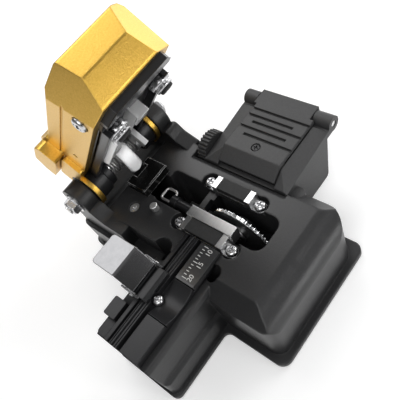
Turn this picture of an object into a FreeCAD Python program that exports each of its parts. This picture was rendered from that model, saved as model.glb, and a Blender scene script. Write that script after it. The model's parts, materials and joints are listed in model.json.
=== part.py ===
# Fibre cleaver, lever open. Millimetres, +Z up, +Y towards the hinge, +X towards the scrap bin.
# The shapes are drawn about the point of the table under the crossing of fibre and blade.
# At export they move together, so that the origin is the middle of the part's own base.
import FreeCAD, Part
import math
import os

Vec = FreeCAD.Vector
AXIS_X = Vec(1, 0, 0)
AXIS_Y = Vec(0, 1, 0)
AXIS_Z = Vec(0, 0, 1)

# ---- driving dimensions ---------------------------------------------------------------------
foot_height = 0.8            # rubber feet below the casting
flange_thick = 1.7           # lip all round the foot of the casting
deck_height = 22.0           # flat top of the casting above the table
fibre_height = 24.0          # the fibre and the tops of the lower pads
ledge_height = 20.0          # top of the fibre arm, under the V-groove plate

front_reach = 32.2           # front wall of the casting, forward of the fibre
rear_reach = 46.0            # rear wall, behind the fibre
left_reach = 22.0            # left wall
right_reach = 16.8           # right wall
lip_width = 2.0              # how far the flange stands out of the walls
arm_reach = 46.4             # left end of the fibre arm
arm_front = 11.6             # front wall of the arm
arm_rear = 9.4               # rear wall of the arm
corner_radius = 6.0          # plan radius of the front corners
bevel_width = 5.2            # bevels along the top of the side walls
bevel_drop = 4.6
roll_run = 6.2               # length of the S-shaped roll at the front of the deck
roll_drop = 7.0

slot_left = 5.5              # blade slot, from the blade plane to its left wall
slot_right = 6.0
slot_front = 18.4
slot_rear = 22.0
slot_radius = 3.2
slot_floor = 3.2             # height of the slot floor
link_slot_left = 4.9         # narrow rear end of the slot, for the drag link
link_slot_right = 3.1
link_slot_rear = 36.6

hinge_x = -0.9               # middle of the lever and its ears
pivot_y = 39.5
pivot_z = 28.0
open_angle = 48.0            # lever angle above the level line in the rest pose
closed_dip = 2.0             # the closed lever dips this far below the level line
shaft_radius = 2.5
lever_half_width = 12.8
cheek_thick = 1.5            # gold knuckle rings
knuckle_radius = 6.6
trough_radius = 8.8          # trough of the casting round the knuckles
left_ear_radius = 5.2
right_ear_radius = 6.8
ear_outer = 19.6             # from the middle of the lever to the outer face of an ear

running_gap = 0.05           # radial clearance of a shaft in its bore
side_gap = 0.3               # between faces that slide past each other

lever_length = 62.0          # pivot to the rim of the nose
lever_rim = 3.0              # underside of the cover above the pivot line
lever_top = 17.0
nose_step = 10.0             # height of the crease across the nose
nose_bulge = 1.8             # how far the crease stands forward of the rim
nose_lean = 3.4              # how far the top edge of the nose leans back from the crease
cover_wall = 2.2

blade_radius = 10.0
blade_thick = 0.5
blade_y = -5.2               # blade axle, forward of the fibre
blade_z = fibre_height - blade_radius - 0.3
ratchet_teeth = 40
carriage_travel = 13.0

bin_inner_x = 13.5           # scrap bin, from its inner wall to the far wall
bin_outer_x = 35.4
bin_bottom_outer_x = 32.0
bin_front = 14.5
bin_rear = 16.3
bin_bottom = 7.6
bin_edge_height = 22.2       # top of its side walls
bin_frame_height = 25.3      # top of its side frames, next to the lid
bin_wall = 1.4
lid_front = 9.9
lid_rear = 10.2
lid_thick = 1.3
lid_lip_x = 14.3             # sloping front lip of the lid
lid_lip_z = 23.3
lid_bend_x = 18.6
lid_bend_z = 26.4
lid_axis_x = 38.9
lid_axis_z = 24.0
lid_knuckle_radius = 2.4
roller_x = 19.6
roller_z = 19.2
roller_radius = 2.7
idler_radius = 1.1
roller_axle = 0.8
knob_radius = 5.6
knob_length = 3.4

plate_left = arm_reach - 0.1
plate_right = 10.2
plate_front = 9.0
plate_rear = 3.9
plate_top = 23.0
groove_land = 23.5           # top of the V-groove ridge

clamp_y = 3.7                # pivot of the chrome fibre clamp
clamp_z = 24.9
clamp_left = 33.1
clamp_right = 22.2

shank_radius = 0.85          # small screws
screw_grip = 7.0             # length of the cover screws in the casting
plate_screw_x = -30.0        # screw of the V-groove plate
plate_screw_y = -2.2
plate_screw_length = 4.0
seam_width = 0.5             # open seam between the deck and the scrap bin
seam_depth = 1.8
seam_bevel = 1.1


# ---- helpers --------------------------------------------------------------------------------
def block(x0, x1, y0, y1, z0, z1):
    return Part.makeBox(x1 - x0, y1 - y0, z1 - z0, Vec(x0, y0, z0))


def rod(start, direction, radius, length):
    return Part.makeCylinder(radius, length, start, direction)


def outline(points):
    """A closed face in the XY plane. Each point is x, y and the radius that rounds it."""
    count = len(points)
    ends = []
    for i in range(count):
        x, y, radius = points[i]
        here = Vec(x, y, 0)
        before = Vec(points[i - 1][0], points[i - 1][1], 0) - here
        after = Vec(points[(i + 1) % count][0], points[(i + 1) % count][1], 0) - here
        if radius <= 0:
            ends.append((here, None, here))
            continue
        before.normalize()
        after.normalize()
        half = before.getAngle(after) / 2
        cut = radius / math.tan(half)
        middle = before + after
        middle.normalize()
        centre = here + middle * (radius / math.sin(half))
        ends.append((here + before * cut, centre - middle * radius, here + after * cut))
    edges = []
    for i in range(count):
        start, mid, end = ends[i]
        if mid is not None:
            edges.append(Part.Arc(start, mid, end).toShape())
        following = ends[(i + 1) % count][0]
        if (following - end).Length > 1e-6:
            edges.append(Part.LineSegment(end, following).toShape())
    return Part.Face(Part.Wire(edges))


def slab(points, z0, z1):
    face = outline(points)
    face.translate(Vec(0, 0, z0))
    return face.extrude(Vec(0, 0, z1 - z0))


def side_prism(points, x0, x1):
    """An outline drawn as y, z and radius, extruded along X."""
    face = outline(points)
    face.rotate(Vec(0, 0, 0), Vec(1, 1, 1), 120)
    face.translate(Vec(x0, 0, 0))
    return face.extrude(Vec(x1 - x0, 0, 0))


def end_prism(points, y0, y1):
    """An outline drawn as x, z and radius, extruded along Y."""
    face = outline(points)
    face.rotate(Vec(0, 0, 0), AXIS_X, 90)
    face.translate(Vec(0, y1, 0))
    return face.extrude(Vec(0, y0 - y1, 0))


def fuse(shapes):
    result = shapes[0]
    if len(shapes) > 1:
        result = result.multiFuse(shapes[1:])
    return result.removeSplitter()


def hexagon(centre, direction, across_flats, length):
    corner = across_flats / math.sqrt(3)
    points = []
    for i in range(7):
        angle = math.radians(60 * i)
        points.append(Vec(corner * math.cos(angle), corner * math.sin(angle), 0))
    prism = Part.Face(Part.makePolygon(points)).extrude(Vec(0, 0, length))
    prism.Placement = FreeCAD.Placement(centre, FreeCAD.Rotation(AXIS_Z, direction))
    return prism


def hex_nut(centre, direction, across_flats, length, bore):
    """A hexagon with its corners turned off on the outer face."""
    nut = hexagon(centre, direction, across_flats, length)
    corner = across_flats / math.sqrt(3)
    tip = across_flats * 0.47
    height = corner + length - tip
    cone = Part.makeCone(corner + length, tip, height, centre + direction * (length - height), direction)
    nut = nut.common(cone)
    return nut.cut(rod(centre - direction, direction, bore, length + 2))


def cross_recess(top, direction, size, depth):
    """The two tapered wings of a cross-head drive, pointing down from the top of a head."""
    side = AXIS_X if abs(direction.dot(AXIS_X)) < 0.5 else AXIS_Y
    wings = []
    for turn in (0, 90):
        wing = Part.makeBox(size, size * 0.26, depth + 1, Vec(-size / 2, -size * 0.13, -depth))
        wing.rotate(Vec(0, 0, 0), AXIS_Z, turn)
        wings.append(wing)
    cross = wings[0].fuse(wings[1])
    turn = FreeCAD.Rotation(AXIS_Z, direction)
    cross.Placement = FreeCAD.Placement(top, turn)
    return cross


def pan_screw(seat, direction, head_radius, head_height, shank_radius, shank_length):
    """A pan-head cross-recess screw. The seat is under its head, the direction out of the work."""
    head = rod(seat, direction, head_radius, head_height)
    rim = [edge for edge in head.Edges if len(edge.Vertexes) == 1
           and (edge.CenterOfMass - seat).dot(direction) > head_height * 0.9]
    head = head.makeFillet(head_height * 0.6, rim)
    shank = rod(seat - direction * shank_length, direction, shank_radius, shank_length + 0.1)
    cut = cross_recess(seat + direction * head_height, direction, head_radius * 1.15, head_height * 0.6)
    return head.fuse(shank).cut(cut).removeSplitter()


def coil(centre, direction, radius, wire, turns, length):
    """A close coil drawn as its tube of rings, one ring for each turn."""
    rings = []
    pitch = (length - wire) / (turns - 1)
    for i in range(turns):
        at = centre + direction * (wire / 2 + pitch * i)
        rings.append(Part.makeTorus(radius, wire / 2, at, direction))
    return Part.makeCompound(rings)


def rounded(shape, radius, chosen):
    """Fillet the edges that the test picks."""
    edges = [edge for edge in shape.Edges if chosen(edge)]
    return shape.makeFillet(radius, edges)


def is_vertical(edge):
    box = edge.BoundBox
    return box.XLength < 1e-4 and box.YLength < 1e-4


PARTS = {}


def keep(name, shape):
    PARTS[name] = shape


# ---- casting ----------------------------------------------------------------------------------
lip_bottom = foot_height
lip_top = foot_height + flange_thick
lever_left = hinge_x - lever_half_width
lever_right = hinge_x + lever_half_width
ear_left = hinge_x - ear_outer
ear_right = hinge_x + ear_outer
ring_outer = lever_half_width + cheek_thick
ear_inner_left = hinge_x - ring_outer - side_gap
ear_inner_right = hinge_x + ring_outer + side_gap
neck_left = left_reach - bevel_width
deck_right = bin_inner_x
bin_seat_front = bin_front + side_gap
bin_seat_rear = bin_rear + knob_length + 2 * side_gap
rear_tier = 14.0             # height of the low tier round the neck and ears
cover_thick = 1.6            # bottom cover


def lip():
    """The flange at the foot of the walls."""
    w = lip_width
    face = [(-left_reach - w, -front_reach - w, 3), (right_reach + w * 0.4, -front_reach - w, 3),
            (right_reach + w * 0.4, rear_reach + 1, 3), (-left_reach - w * 0.5, rear_reach + 1, 3),
            (-left_reach - w * 0.5, arm_rear + 1, 3), (-arm_reach - 0.8, arm_rear + 1, 2),
            (-arm_reach - 0.8, -arm_front - w * 1.2, 2), (-left_reach - w, -arm_front - w * 1.2, 2)]
    return slab(face, lip_bottom, lip_top)


def front_roll():
    """What is planed off the front of the deck: a convex edge, a hollow and the wall below."""
    y0 = -front_reach + roll_run
    top = deck_height
    points = [Vec(0, y0 + 2.5, top), Vec(0, y0, top - 0.4),
              Vec(0, y0 - roll_run * 0.38, top - roll_drop * 0.30),
              Vec(0, y0 - roll_run * 0.72, top - roll_drop * 0.50),
              Vec(0, y0 - roll_run * 0.95, top - roll_drop * 0.80), Vec(0, y0 - roll_run, top - roll_drop)]
    curve = Part.BSplineCurve()
    curve.interpolate(points)
    outer = [Vec(0, y0 - roll_run, top - roll_drop), Vec(0, y0 - roll_run - 8, top - roll_drop),
             Vec(0, y0 - roll_run - 8, top + 8), Vec(0, y0 + 2.5, top + 8), Vec(0, y0 + 2.5, top)]
    edges = [curve.toShape()]
    for i in range(len(outer) - 1):
        edges.append(Part.LineSegment(outer[i], outer[i + 1]).toShape())
    face = Part.Face(Part.Wire(edges))
    face.translate(Vec(-left_reach - 10, 0, 0))
    return face.extrude(Vec(left_reach + right_reach + 20, 0, 0))


def front_body():
    """The wide front of the casting, under the user's hand."""
    face = [(-left_reach, -front_reach, 3.5), (right_reach, -front_reach, corner_radius + 1),
            (right_reach, -bin_seat_front, 0.5), (deck_right, -bin_seat_front, 0), (deck_right, -8, 0),
            (-left_reach, -8, 0)]
    body = slab(face, lip_bottom, deck_height)
    x0 = -left_reach
    left_bevel = [(x0 - 1, deck_height - bevel_drop - 1, 0), (x0, deck_height - bevel_drop, 0),
                  (x0 + bevel_width, deck_height, 0), (x0 + bevel_width, deck_height + 4, 0),
                  (x0 - 1, deck_height + 4, 0)]
    x1 = right_reach
    right_bevel = [(x1 + 1, deck_height - 3.0, 0), (x1 + 1, deck_height + 4, 0),
                   (deck_right, deck_height + 4, 0), (deck_right, deck_height, 0),
                   (x1, deck_height - 2.2, 0)]
    body = body.cut(end_prism(left_bevel, -front_reach - 5, 5))
    body = body.cut(end_prism(right_bevel, -front_reach - 5, 5))
    return body.cut(front_roll())


def arm():
    """The arm that carries the fibre: a ledge, a shoulder and a stepped wall."""
    x_end = -arm_reach
    y0 = -arm_front
    profile = [(y0 - 1.6, lip_bottom, 0), (y0 - 1.6, 9.4, 0.4), (y0 - 0.5, 10.2, 0.4), (y0, 18.6, 0),
               (y0 + 0.8, ledge_height, 0.6), (arm_rear - 0.8, ledge_height, 0.6), (arm_rear, 18.6, 0.6),
               (arm_rear + 0.5, lip_bottom, 0)]
    body = side_prism(profile, x_end, -8)
    ends = [(x_end, y0 - 1.6, 2), (-8, y0 - 1.6, 0), (-8, arm_rear + 0.5, 0), (x_end, arm_rear + 0.5, 2)]
    return body.common(slab(ends, 0, deck_height))


def neck():
    """The narrow rear of the deck, flaring to the ears, on its low tier."""
    upper = [(-neck_left, -12, 0), (deck_right, -12, 0), (deck_right, bin_seat_rear, 0.5),
             (right_reach, bin_seat_rear, 1), (right_reach, 27, 5), (ear_right, 33, 3),
             (ear_right, rear_reach - 1, 2), (ear_left, rear_reach - 1, 2), (ear_left, 32, 3),
             (-neck_left, 26, 6)]
    lower = [(-left_reach, -12, 0), (deck_right, -12, 0), (deck_right, bin_seat_rear, 0),
             (right_reach, bin_seat_rear, 1), (right_reach + 1, 30, 4), (ear_right + 1.0, 36, 4),
             (ear_right + 0.6, rear_reach, 3), (ear_left - 1.4, rear_reach, 3), (-left_reach, 30, 3)]
    top = slab(upper, lip_bottom, deck_height)
    base = slab(lower, lip_bottom, rear_tier)
    return fuse([top, base])


def ear(x0, x1, ear_radius, guard):
    """An ear that holds the shaft; a guard adds the hump in front of it."""
    front = [(33.2, 26.0, 1.2), (30.2, 27.6, 1.6), (27.6, 24.2, 3.0)]
    if not guard:
        front = [(34.0, 25.6, 2.0), (31.0, deck_height, 3.0)]
    profile = [(pivot_y + ear_radius, 10, 0), (pivot_y + ear_radius, pivot_z, 0), (pivot_y, pivot_z, 0)]
    profile = profile + front + [(22.5, deck_height - 0.3, 0), (22.5, 10, 0)]
    return fuse([side_prism(profile, x0, x1), rod(Vec(x0, pivot_y, pivot_z), AXIS_X, ear_radius, x1 - x0)])


def casting():
    body = fuse([lip(), front_body(), arm(), neck(), ear(ear_left, ear_inner_left, left_ear_radius, False),
                 ear(ear_inner_right, ear_right, right_ear_radius, True)])
    # trough in which the lever's knuckles swing
    between_ears = ear_inner_right - ear_inner_left
    body = body.cut(rod(Vec(ear_inner_left, pivot_y, pivot_z), AXIS_X, trough_radius, between_ears))
    body = body.cut(block(ear_inner_left, ear_inner_right, pivot_y, rear_reach + 5, pivot_z - trough_radius,
                          40))
    # blade slot with its narrow rear end
    wide = [(-slot_left, -slot_front, slot_radius), (slot_right, -slot_front, slot_radius),
            (slot_right, slot_rear, 1.5), (-slot_left, slot_rear, 1.5)]
    narrow = [(-link_slot_left, 0, 0), (link_slot_right, 0, 0), (link_slot_right, link_slot_rear, 1.5),
              (-link_slot_left, link_slot_rear, 1.5)]
    body = body.cut(slab(wide, slot_floor, 40)).cut(slab(narrow, slot_floor, 40))
    # seats of the lower pads: a shallow pocket with a round end at each screw
    for pad in PADS:
        body = body.cut(pad_pocket(pad))
    # seat of the V-groove plate, where it runs onto the deck
    body = body.cut(block(-arm_reach - 2, -plate_right + side_gap, -plate_front - side_gap, plate_rear + 0.4,
                          ledge_height, 40))
    # scoops that clear a fingertip and the plate's corner
    body = body.cut(rod(Vec(-neck_left - 0.4, 7.9, 13), AXIS_Z, 3.1, 12))
    body = body.cut(rod(Vec(-15.9, -plate_front - 1.2, 14), AXIS_Z, 2.4, 12))
    # bores
    body = body.cut(rod(Vec(ear_left - 1, pivot_y, pivot_z), AXIS_X, shaft_radius + running_gap, 60))
    for x, y, radius, depth in DECK_HOLES:
        body = body.cut(rod(Vec(x, y, deck_height - depth), AXIS_Z, radius, depth + 5))
    for x, y in COVER_SCREWS:
        body = body.cut(rod(Vec(x, y, lip_bottom), AXIS_Z, 1.0, screw_grip + 1))
    body = body.cut(rod(Vec(plate_screw_x, plate_screw_y, ledge_height - plate_screw_length), AXIS_Z,
                        shank_radius + 0.05, 10))
    body = body.cut(cover_plate(0.1))
    body = body.cut(bin_lug(side_gap))
    return body.cut(seam()).removeSplitter()


def seam():
    """Bevel and open seam along the edge of the deck beside the scrap bin."""
    inner = deck_right - seam_width
    profile = [(inner - seam_bevel, deck_height, 0), (inner, deck_height - 0.6, 0),
               (inner, deck_height - seam_depth, 0), (deck_right + 0.2, deck_height - seam_depth, 0),
               (deck_right + 0.2, deck_height + 1, 0), (inner - seam_bevel, deck_height + 1, 0)]
    return end_prism(profile, -bin_seat_front, bin_seat_rear)


def bin_lug(gap):
    """Round-ended tongue of the scrap bin, let into the front corner of the casting."""
    x0, x1 = bin_inner_x + 0.3 - gap, bin_inner_x + 5.0 + gap
    y0, y1 = -bin_front - 3.5 - gap, -bin_front + 0.5
    return slab([(x0, y0, 2.3), (x1, y0, 2.3), (x1, y1, 0), (x0, y1, 0)], 14.0 - gap, 19.5 + gap * 20)


# left and right lower pads: holder left, right, front, rear, then the screw places
PADS = [
    {"x0": -9.9, "x1": -2.4, "pad0": -9.9, "pad1": -5.6, "y0": -8.9, "y1": 6.3,
     "screws": [(-7.9, 8.6), (-8.1, -10.75)]},
    {"x0": 5.4, "x1": 9.4, "pad0": 5.4, "pad1": 9.4, "y0": -7.6, "y1": 6.2,
     "screws": [(7.5, 8.7), (7.3, -9.6)]},
]
pocket_depth = 2.2
head_radius = 1.75
DECK_HOLES = [(-11.0, 25.4, 1.75, 4.0), (-8.2, 18.4, 1.2, 6.0)]
COVER_SCREWS = [(-left_reach + 5.6, -front_reach + 5.6), (right_reach - 5.6, -front_reach + 5.6),
                (-left_reach + 6.6, rear_reach - 20.0), (right_reach - 5.6, rear_reach - 20.0),
                (-arm_reach + 5.1, -arm_front + 4.6), (-arm_reach + 5.1, arm_rear - 4.6)]


def pad_pocket(pad):
    """The pocket follows the holder and swells to a circle round each screw head."""
    floor = deck_height - pocket_depth
    cuts = [block(pad["x0"] - side_gap, pad["x1"] + side_gap, pad["y0"] - 1.5, pad["y1"] + 1.5, floor, 40)]
    for x, y in pad["screws"]:
        cuts.append(rod(Vec(x, y, floor), AXIS_Z, head_radius + 1.0, 10))
        cuts.append(rod(Vec(x, y, floor - 4), AXIS_Z, 0.9, 10))
    return fuse(cuts)


def cover_plate(g):
    """Bottom cover, let into the foot of the casting."""
    left, right = -left_reach + 3.0 - g, right_reach - 3.0 + g
    front, rear = -front_reach + 3.0 - g, rear_reach - 6.0 + g
    face = [(left, front, 3), (right, front, 3), (right, rear, 3), (left + 1, rear, 3),
            (left + 1, arm_rear - 2 + g, 1), (-arm_reach + 2.5 - g, arm_rear - 2 + g, 1),
            (-arm_reach + 2.5 - g, -arm_front + 2 - g, 1), (left, -arm_front + 2 - g, 1)]
    return slab(face, lip_bottom, lip_bottom + cover_thick)


keep("body_casting", casting())

# ---- underside ----------------------------------------------------------------------------------
FEET = [(-left_reach + 11.5, -front_reach + 10.0), (right_reach - 11.5, -front_reach + 10.0),
        (-left_reach + 10.5, rear_reach - 10.5), (right_reach - 10.5, rear_reach - 10.5),
        (-arm_reach + 11.5, (arm_rear - arm_front) / 2)]
foot_radius = 3.5
foot_recess = 0.6
cover_head_radius = 1.7


def bottom_cover():
    plate = cover_plate(0)
    for x, y in COVER_SCREWS:
        plate = plate.cut(rod(Vec(x, y, 0), AXIS_Z, 1.05, 6))
        plate = plate.cut(rod(Vec(x, y, 0), AXIS_Z, cover_head_radius + 0.1, lip_bottom + 0.9))
    for x, y in FEET:
        plate = plate.cut(rod(Vec(x, y, 0), AXIS_Z, foot_radius + 0.1, lip_bottom + foot_recess))
    return plate


def foot(x, y):
    pad = rod(Vec(x, y, 0), AXIS_Z, foot_radius, lip_bottom + foot_recess)
    lower = [edge for edge in pad.Edges if abs(edge.CenterOfMass.z) < 1e-6]
    return pad.makeFillet(0.3, lower)


keep("bottom_cover", bottom_cover())
keep("rubber_feet", Part.makeCompound([foot(x, y) for x, y in FEET]))


def cover_screw(x, y):
    shank = rod(Vec(x, y, lip_bottom), AXIS_Z, 0.95, screw_grip)
    cap = rod(Vec(x, y, lip_bottom), AXIS_Z, cover_head_radius, 0.9)
    return shank.fuse(cap).cut(cross_recess(Vec(x, y, lip_bottom), -AXIS_Z, 1.7, 0.6)).removeSplitter()


keep("cover_screws", Part.makeCompound([cover_screw(x, y) for x, y in COVER_SCREWS]))


# ---- lower clamp pads -----------------------------------------------------------------------------
pad_groove = 0.2             # the rubber stands this far above its steel cheeks
pad_cheek = 1.9
rubber_seat = fibre_height - 2.0
tab_half = 1.8
tab_thick = 0.9


def lower_holder(pad):
    """Steel holder: a foot in the pocket, a cheek at each end of the rubber."""
    floor = deck_height - pocket_depth
    x0, x1, y0, y1 = pad["x0"], pad["x1"], pad["y0"], pad["y1"]
    body = block(pad["pad0"], pad["pad1"], y0, y1, floor, fibre_height - pad_groove)
    body = body.cut(block(pad["pad0"] - 1, pad["pad1"] + 1, y0 + pad_cheek, y1 - pad_cheek, rubber_seat, 40))
    for x, y in pad["screws"]:
        low = min(y, y1 - 1)
        high = max(y, y0 + 1)
        body = body.fuse(block(x - tab_half, x + tab_half, low, high, floor, floor + tab_thick))
        body = body.fuse(rod(Vec(x, y, floor), AXIS_Z, tab_half, tab_thick))
    for x, y in pad["screws"]:
        body = body.cut(rod(Vec(x, y, 0), AXIS_Z, shank_radius + 0.1, 40))
    if x1 - pad["pad1"] > 1:
        bar = block(pad["pad1"], x1, y0 - 0.6, y1 + 0.5, floor + 0.2, fibre_height + 0.3)
        body = body.fuse(bar)
    return body.removeSplitter()


def lower_rubber(pad):
    return block(pad["pad0"] + 0.1, pad["pad1"] - 0.1, pad["y0"] + pad_cheek, pad["y1"] - pad_cheek,
                 rubber_seat, fibre_height)


names = ("left", "right")
screws = []
for side, pad in zip(names, PADS):
    keep("lower_pad_holder_" + side, lower_holder(pad))
    keep("lower_pad_" + side, lower_rubber(pad))
    for x, y in pad["screws"]:
        seat = Vec(x, y, deck_height - pocket_depth + tab_thick)
        screws.append(pan_screw(seat, AXIS_Z, head_radius, 1.5, shank_radius, 4.2))
keep("pad_screws", Part.makeCompound(screws))


# ---- fibre arm --------------------------------------------------------------------------------
plate_slab = 1.4
dish_left = 34.2
scale_left = 22.5
ridge_front = 1.5
ridge_rear = 1.3
land_rear = 2.6              # rear edge of the two lands in front of the ridge
rest_step = 5.1              # low step of the rest block
rest_length = 5.7
bracket_front = clamp_y - 0.8
bracket_rear = clamp_y + 1.2
plate_head = 1.5


def fibre_plate():
    """The plate that the fibre holder rests on: two lands, a dish between them and a V-groove ridge."""
    floor = ledge_height + plate_slab
    left, right = -plate_left, -plate_right
    body = block(left, right, -plate_front, plate_rear, ledge_height, floor)
    lands = [block(left, -dish_left - 0.3, -plate_front, -land_rear, ledge_height, plate_top),
             block(-dish_left, -scale_left - side_gap, -plate_front, -land_rear, ledge_height, plate_top),
             block(left, right, -ridge_front, ridge_rear, ledge_height, groove_land),
             block(left, right, plate_rear - 1.2, plate_rear, ledge_height, plate_top - 0.4)]
    body = body.multiFuse(lands)
    dish_width = dish_left - scale_left
    sag = 1.7
    dish_radius = (dish_width / 2) ** 2 / (2 * sag) + sag / 2
    dish = rod(Vec(-(dish_left + scale_left) / 2, -land_rear, plate_top - sag + dish_radius), -AXIS_Y,
               dish_radius, plate_front + 5)
    body = body.cut(dish)
    groove = side_prism([(-0.45, groove_land + 0.1, 0), (0, groove_land - 0.55, 0),
                         (0.45, groove_land + 0.1, 0)], left - 1, right + 1)
    body = body.cut(groove)
    for y in (-1.05, 0.8):
        body = body.cut(block(left - 1, right + 1, y, y + 0.25, groove_land - 0.8, 40))
    body = body.cut(block(-clamp_left + 0.8, -clamp_right - 0.8, bracket_front - side_gap, plate_rear + 1,
                          0, 40))
    body = body.cut(rod(Vec(plate_screw_x, plate_screw_y, 0), AXIS_Z, shank_radius + 0.05, 40))
    body = body.cut(rod(Vec(plate_screw_x, plate_screw_y, floor + 0.4), AXIS_Z, plate_head + 0.2, 10))
    return body.removeSplitter()


def rest_block():
    """Stepped block behind the groove, which the rear of the fibre holder leans on."""
    end = -plate_left + 0.2
    step = end + rest_step
    right = step + rest_length
    front = plate_rear + side_gap
    rear = arm_rear - 0.2
    high = slab([(step, front + 0.7, 0.4), (right, front + 0.7, 0.4), (right, rear, 0.6), (step, rear, 0.6)],
                ledge_height, plate_top)
    low = slab([(end, front, 0.4), (step, front, 0), (step, rear - 1.2, 0), (end, rear - 1.2, 1.2)],
               ledge_height, plate_top - 1.6)
    return high.fuse(low).removeSplitter()


def scale_strip():
    return slab([(-scale_left, -plate_front, 0.3), (-plate_right - 0.2, -plate_front, 0.3),
                 (-plate_right - 0.2, -land_rear, 0.3), (-scale_left, -land_rear, 0.3)],
                ledge_height + plate_slab, plate_top + 0.1)


keep("fibre_plate", fibre_plate())
keep("rest_block", rest_block())
keep("scale_strip", scale_strip())
keep("plate_screw", pan_screw(Vec(plate_screw_x, plate_screw_y, ledge_height + plate_slab + 0.4), AXIS_Z,
                              plate_head, 1.2, shank_radius, plate_screw_length))

# ---- fibre clamp: a chrome flap that rocks on a pin ------------------------------------------------
clamp_pin = 0.6
clamp_sheet = 0.8
tab_rear = 16.2
tab_height = 32.2
bend_y = 7.2
tab_left = clamp_left - 0.6
tab_right = clamp_right + 0.7
bar_front = -1.0
bar_rear = clamp_y - 1.35


def clamp_flap():
    """Flat thumb tab, a slope down to the pin, and an ear at each end of the slope."""
    t = clamp_sheet
    fold = [(clamp_y - 0.9, clamp_z + 1.2, 0), (clamp_y - 0.1, clamp_z + 1.2, 0.2),
            (bend_y + 0.3, tab_height - t, 0.6), (tab_rear, tab_height - t, 0),
            (tab_rear, tab_height, 0.3), (bend_y - 0.2, tab_height, 1.2),
            (clamp_y - 0.9, clamp_z + 1.9, 0.2)]
    sheet = side_prism(fold, -tab_left, -tab_right)
    trim = slab([(-tab_left, -20, 0), (-tab_right, -20, 0), (-tab_right, tab_rear, 1.4),
                 (-tab_left, tab_rear, 1.4)], 0, 60)
    sheet = sheet.common(trim)
    ear_shape = [(bar_front + 2.2, clamp_z - 1.0, 0.4), (clamp_y + 1.1, clamp_z - 1.2, 0.8),
                 (clamp_y + 2.0, clamp_z + 2.2, 0.5), (clamp_y + 2.3, clamp_z + 3.4, 0),
                 (clamp_y - 0.9, clamp_z + 1.9, 0.3), (bar_front + 2.2, clamp_z + 0.4, 0.4)]
    shapes = [sheet]
    for x in (-clamp_left, -tab_right):
        shapes.append(side_prism(ear_shape, x, x + clamp_left - tab_left))
    body = fuse(shapes)
    return body.cut(rod(Vec(-clamp_left - 1, clamp_y, clamp_z), AXIS_X, clamp_pin + running_gap, 20))


def clamp_bar():
    """Black bar that presses the fibre into the groove."""
    bottom = groove_land + side_gap
    profile = [(bar_front, bottom, 0.3), (bar_rear, bottom, 0), (bar_rear, clamp_z + 0.5, 0.3),
               (bar_front + 0.8, clamp_z + 0.5, 0.3), (bar_front, clamp_z - 0.3, 0.3)]
    return side_prism(profile, -tab_left, -tab_right)


def clamp_bracket():
    """Block on the arm that carries the clamp's pin between the flap's ears."""
    left, right = -tab_left + 0.4, -tab_right - 0.4
    body = block(left, right, bracket_front, bracket_rear, ledge_height, clamp_z)
    boss = rod(Vec(left, clamp_y, clamp_z), AXIS_X, clamp_y - bracket_front, right - left)
    body = body.fuse(boss)
    return body.cut(rod(Vec(left - 1, clamp_y, clamp_z), AXIS_X, clamp_pin, 30)).removeSplitter()


keep("clamp_flap", clamp_flap())
keep("clamp_bar", clamp_bar())
keep("clamp_bracket", clamp_bracket())
clamp_span = clamp_left - clamp_right
keep("clamp_pin", rod(Vec(-clamp_left - 0.3, clamp_y, clamp_z), AXIS_X, clamp_pin, clamp_span + 0.6))

# ---- hinge ------------------------------------------------------------------------------------------
stop_height = 25.0
stop_margin = 3.6            # stop block beyond each side of the tongue
stop_front = 15.9            # its faces, forward of the pivot
stop_rear = 7.6
tongue_left = -2.6
tongue_right = 1.9
tongue_u = 6.6               # middle of the tongue in front of the pivot, lever level
tongue_drop = 7.0            # its tip below the pivot
tongue_thick = 1.3
tongue_reach = math.hypot(tongue_u + tongue_thick / 2, tongue_drop)
washer_thick = 0.5
washer_radius = 3.6
nut_flats = 5.0
nut_length = 2.3
stud_radius = 1.5
stud_end = 0.6               # how far the stud stands out of its nut
shaft_left = ear_left - washer_thick
shaft_right = ear_right + washer_thick


def hinge_shaft():
    """Ground shaft between the ears, turned down to a stud at each end."""
    body = rod(Vec(ear_left, pivot_y, pivot_z), AXIS_X, shaft_radius, ear_right - ear_left)
    for x, way in ((ear_left, -1), (ear_right, 1)):
        body = body.fuse(rod(Vec(x, pivot_y, pivot_z), AXIS_X * way, stud_radius,
                             washer_thick + nut_length + stud_end))
    return body.removeSplitter()


def washer(x, way):
    ring = rod(Vec(x, pivot_y, pivot_z), AXIS_X * way, washer_radius, washer_thick)
    return ring.cut(rod(Vec(x - 2, pivot_y, pivot_z), AXIS_X, stud_radius + 0.1, 4))


keep("hinge_shaft", hinge_shaft())
keep("shaft_washers", Part.makeCompound([washer(ear_left, -1), washer(ear_right, 1)]))
for name, x, way in (("left", shaft_left, -1), ("right", shaft_right, 1)):
    face = Vec(x, pivot_y, pivot_z)
    keep(name + "_shaft_nut", hex_nut(face, AXIS_X * way, nut_flats, nut_length, stud_radius))


def hinge_block():
    """Polished stop block that bridges the link slot, hollowed where the tongue swings past."""
    left, right = tongue_left - stop_margin, tongue_right + stop_margin - 0.6
    front, rear = pivot_y - stop_front, pivot_y - stop_rear
    face = [(left, front, 0.5), (right, front, 0.5), (right, rear, 0.5), (left, rear, 0.5)]
    body = slab(face, deck_height, stop_height)
    top = [edge for edge in body.Edges if edge.CenterOfMass.z > stop_height - 0.01]
    body = body.makeChamfer(0.35, top)
    swing = rod(Vec(tongue_left - side_gap, pivot_y, pivot_z), AXIS_X, tongue_reach + side_gap,
                tongue_right - tongue_left + 2 * side_gap)
    return body.cut(swing)


keep("hinge_block", hinge_block())

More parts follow.
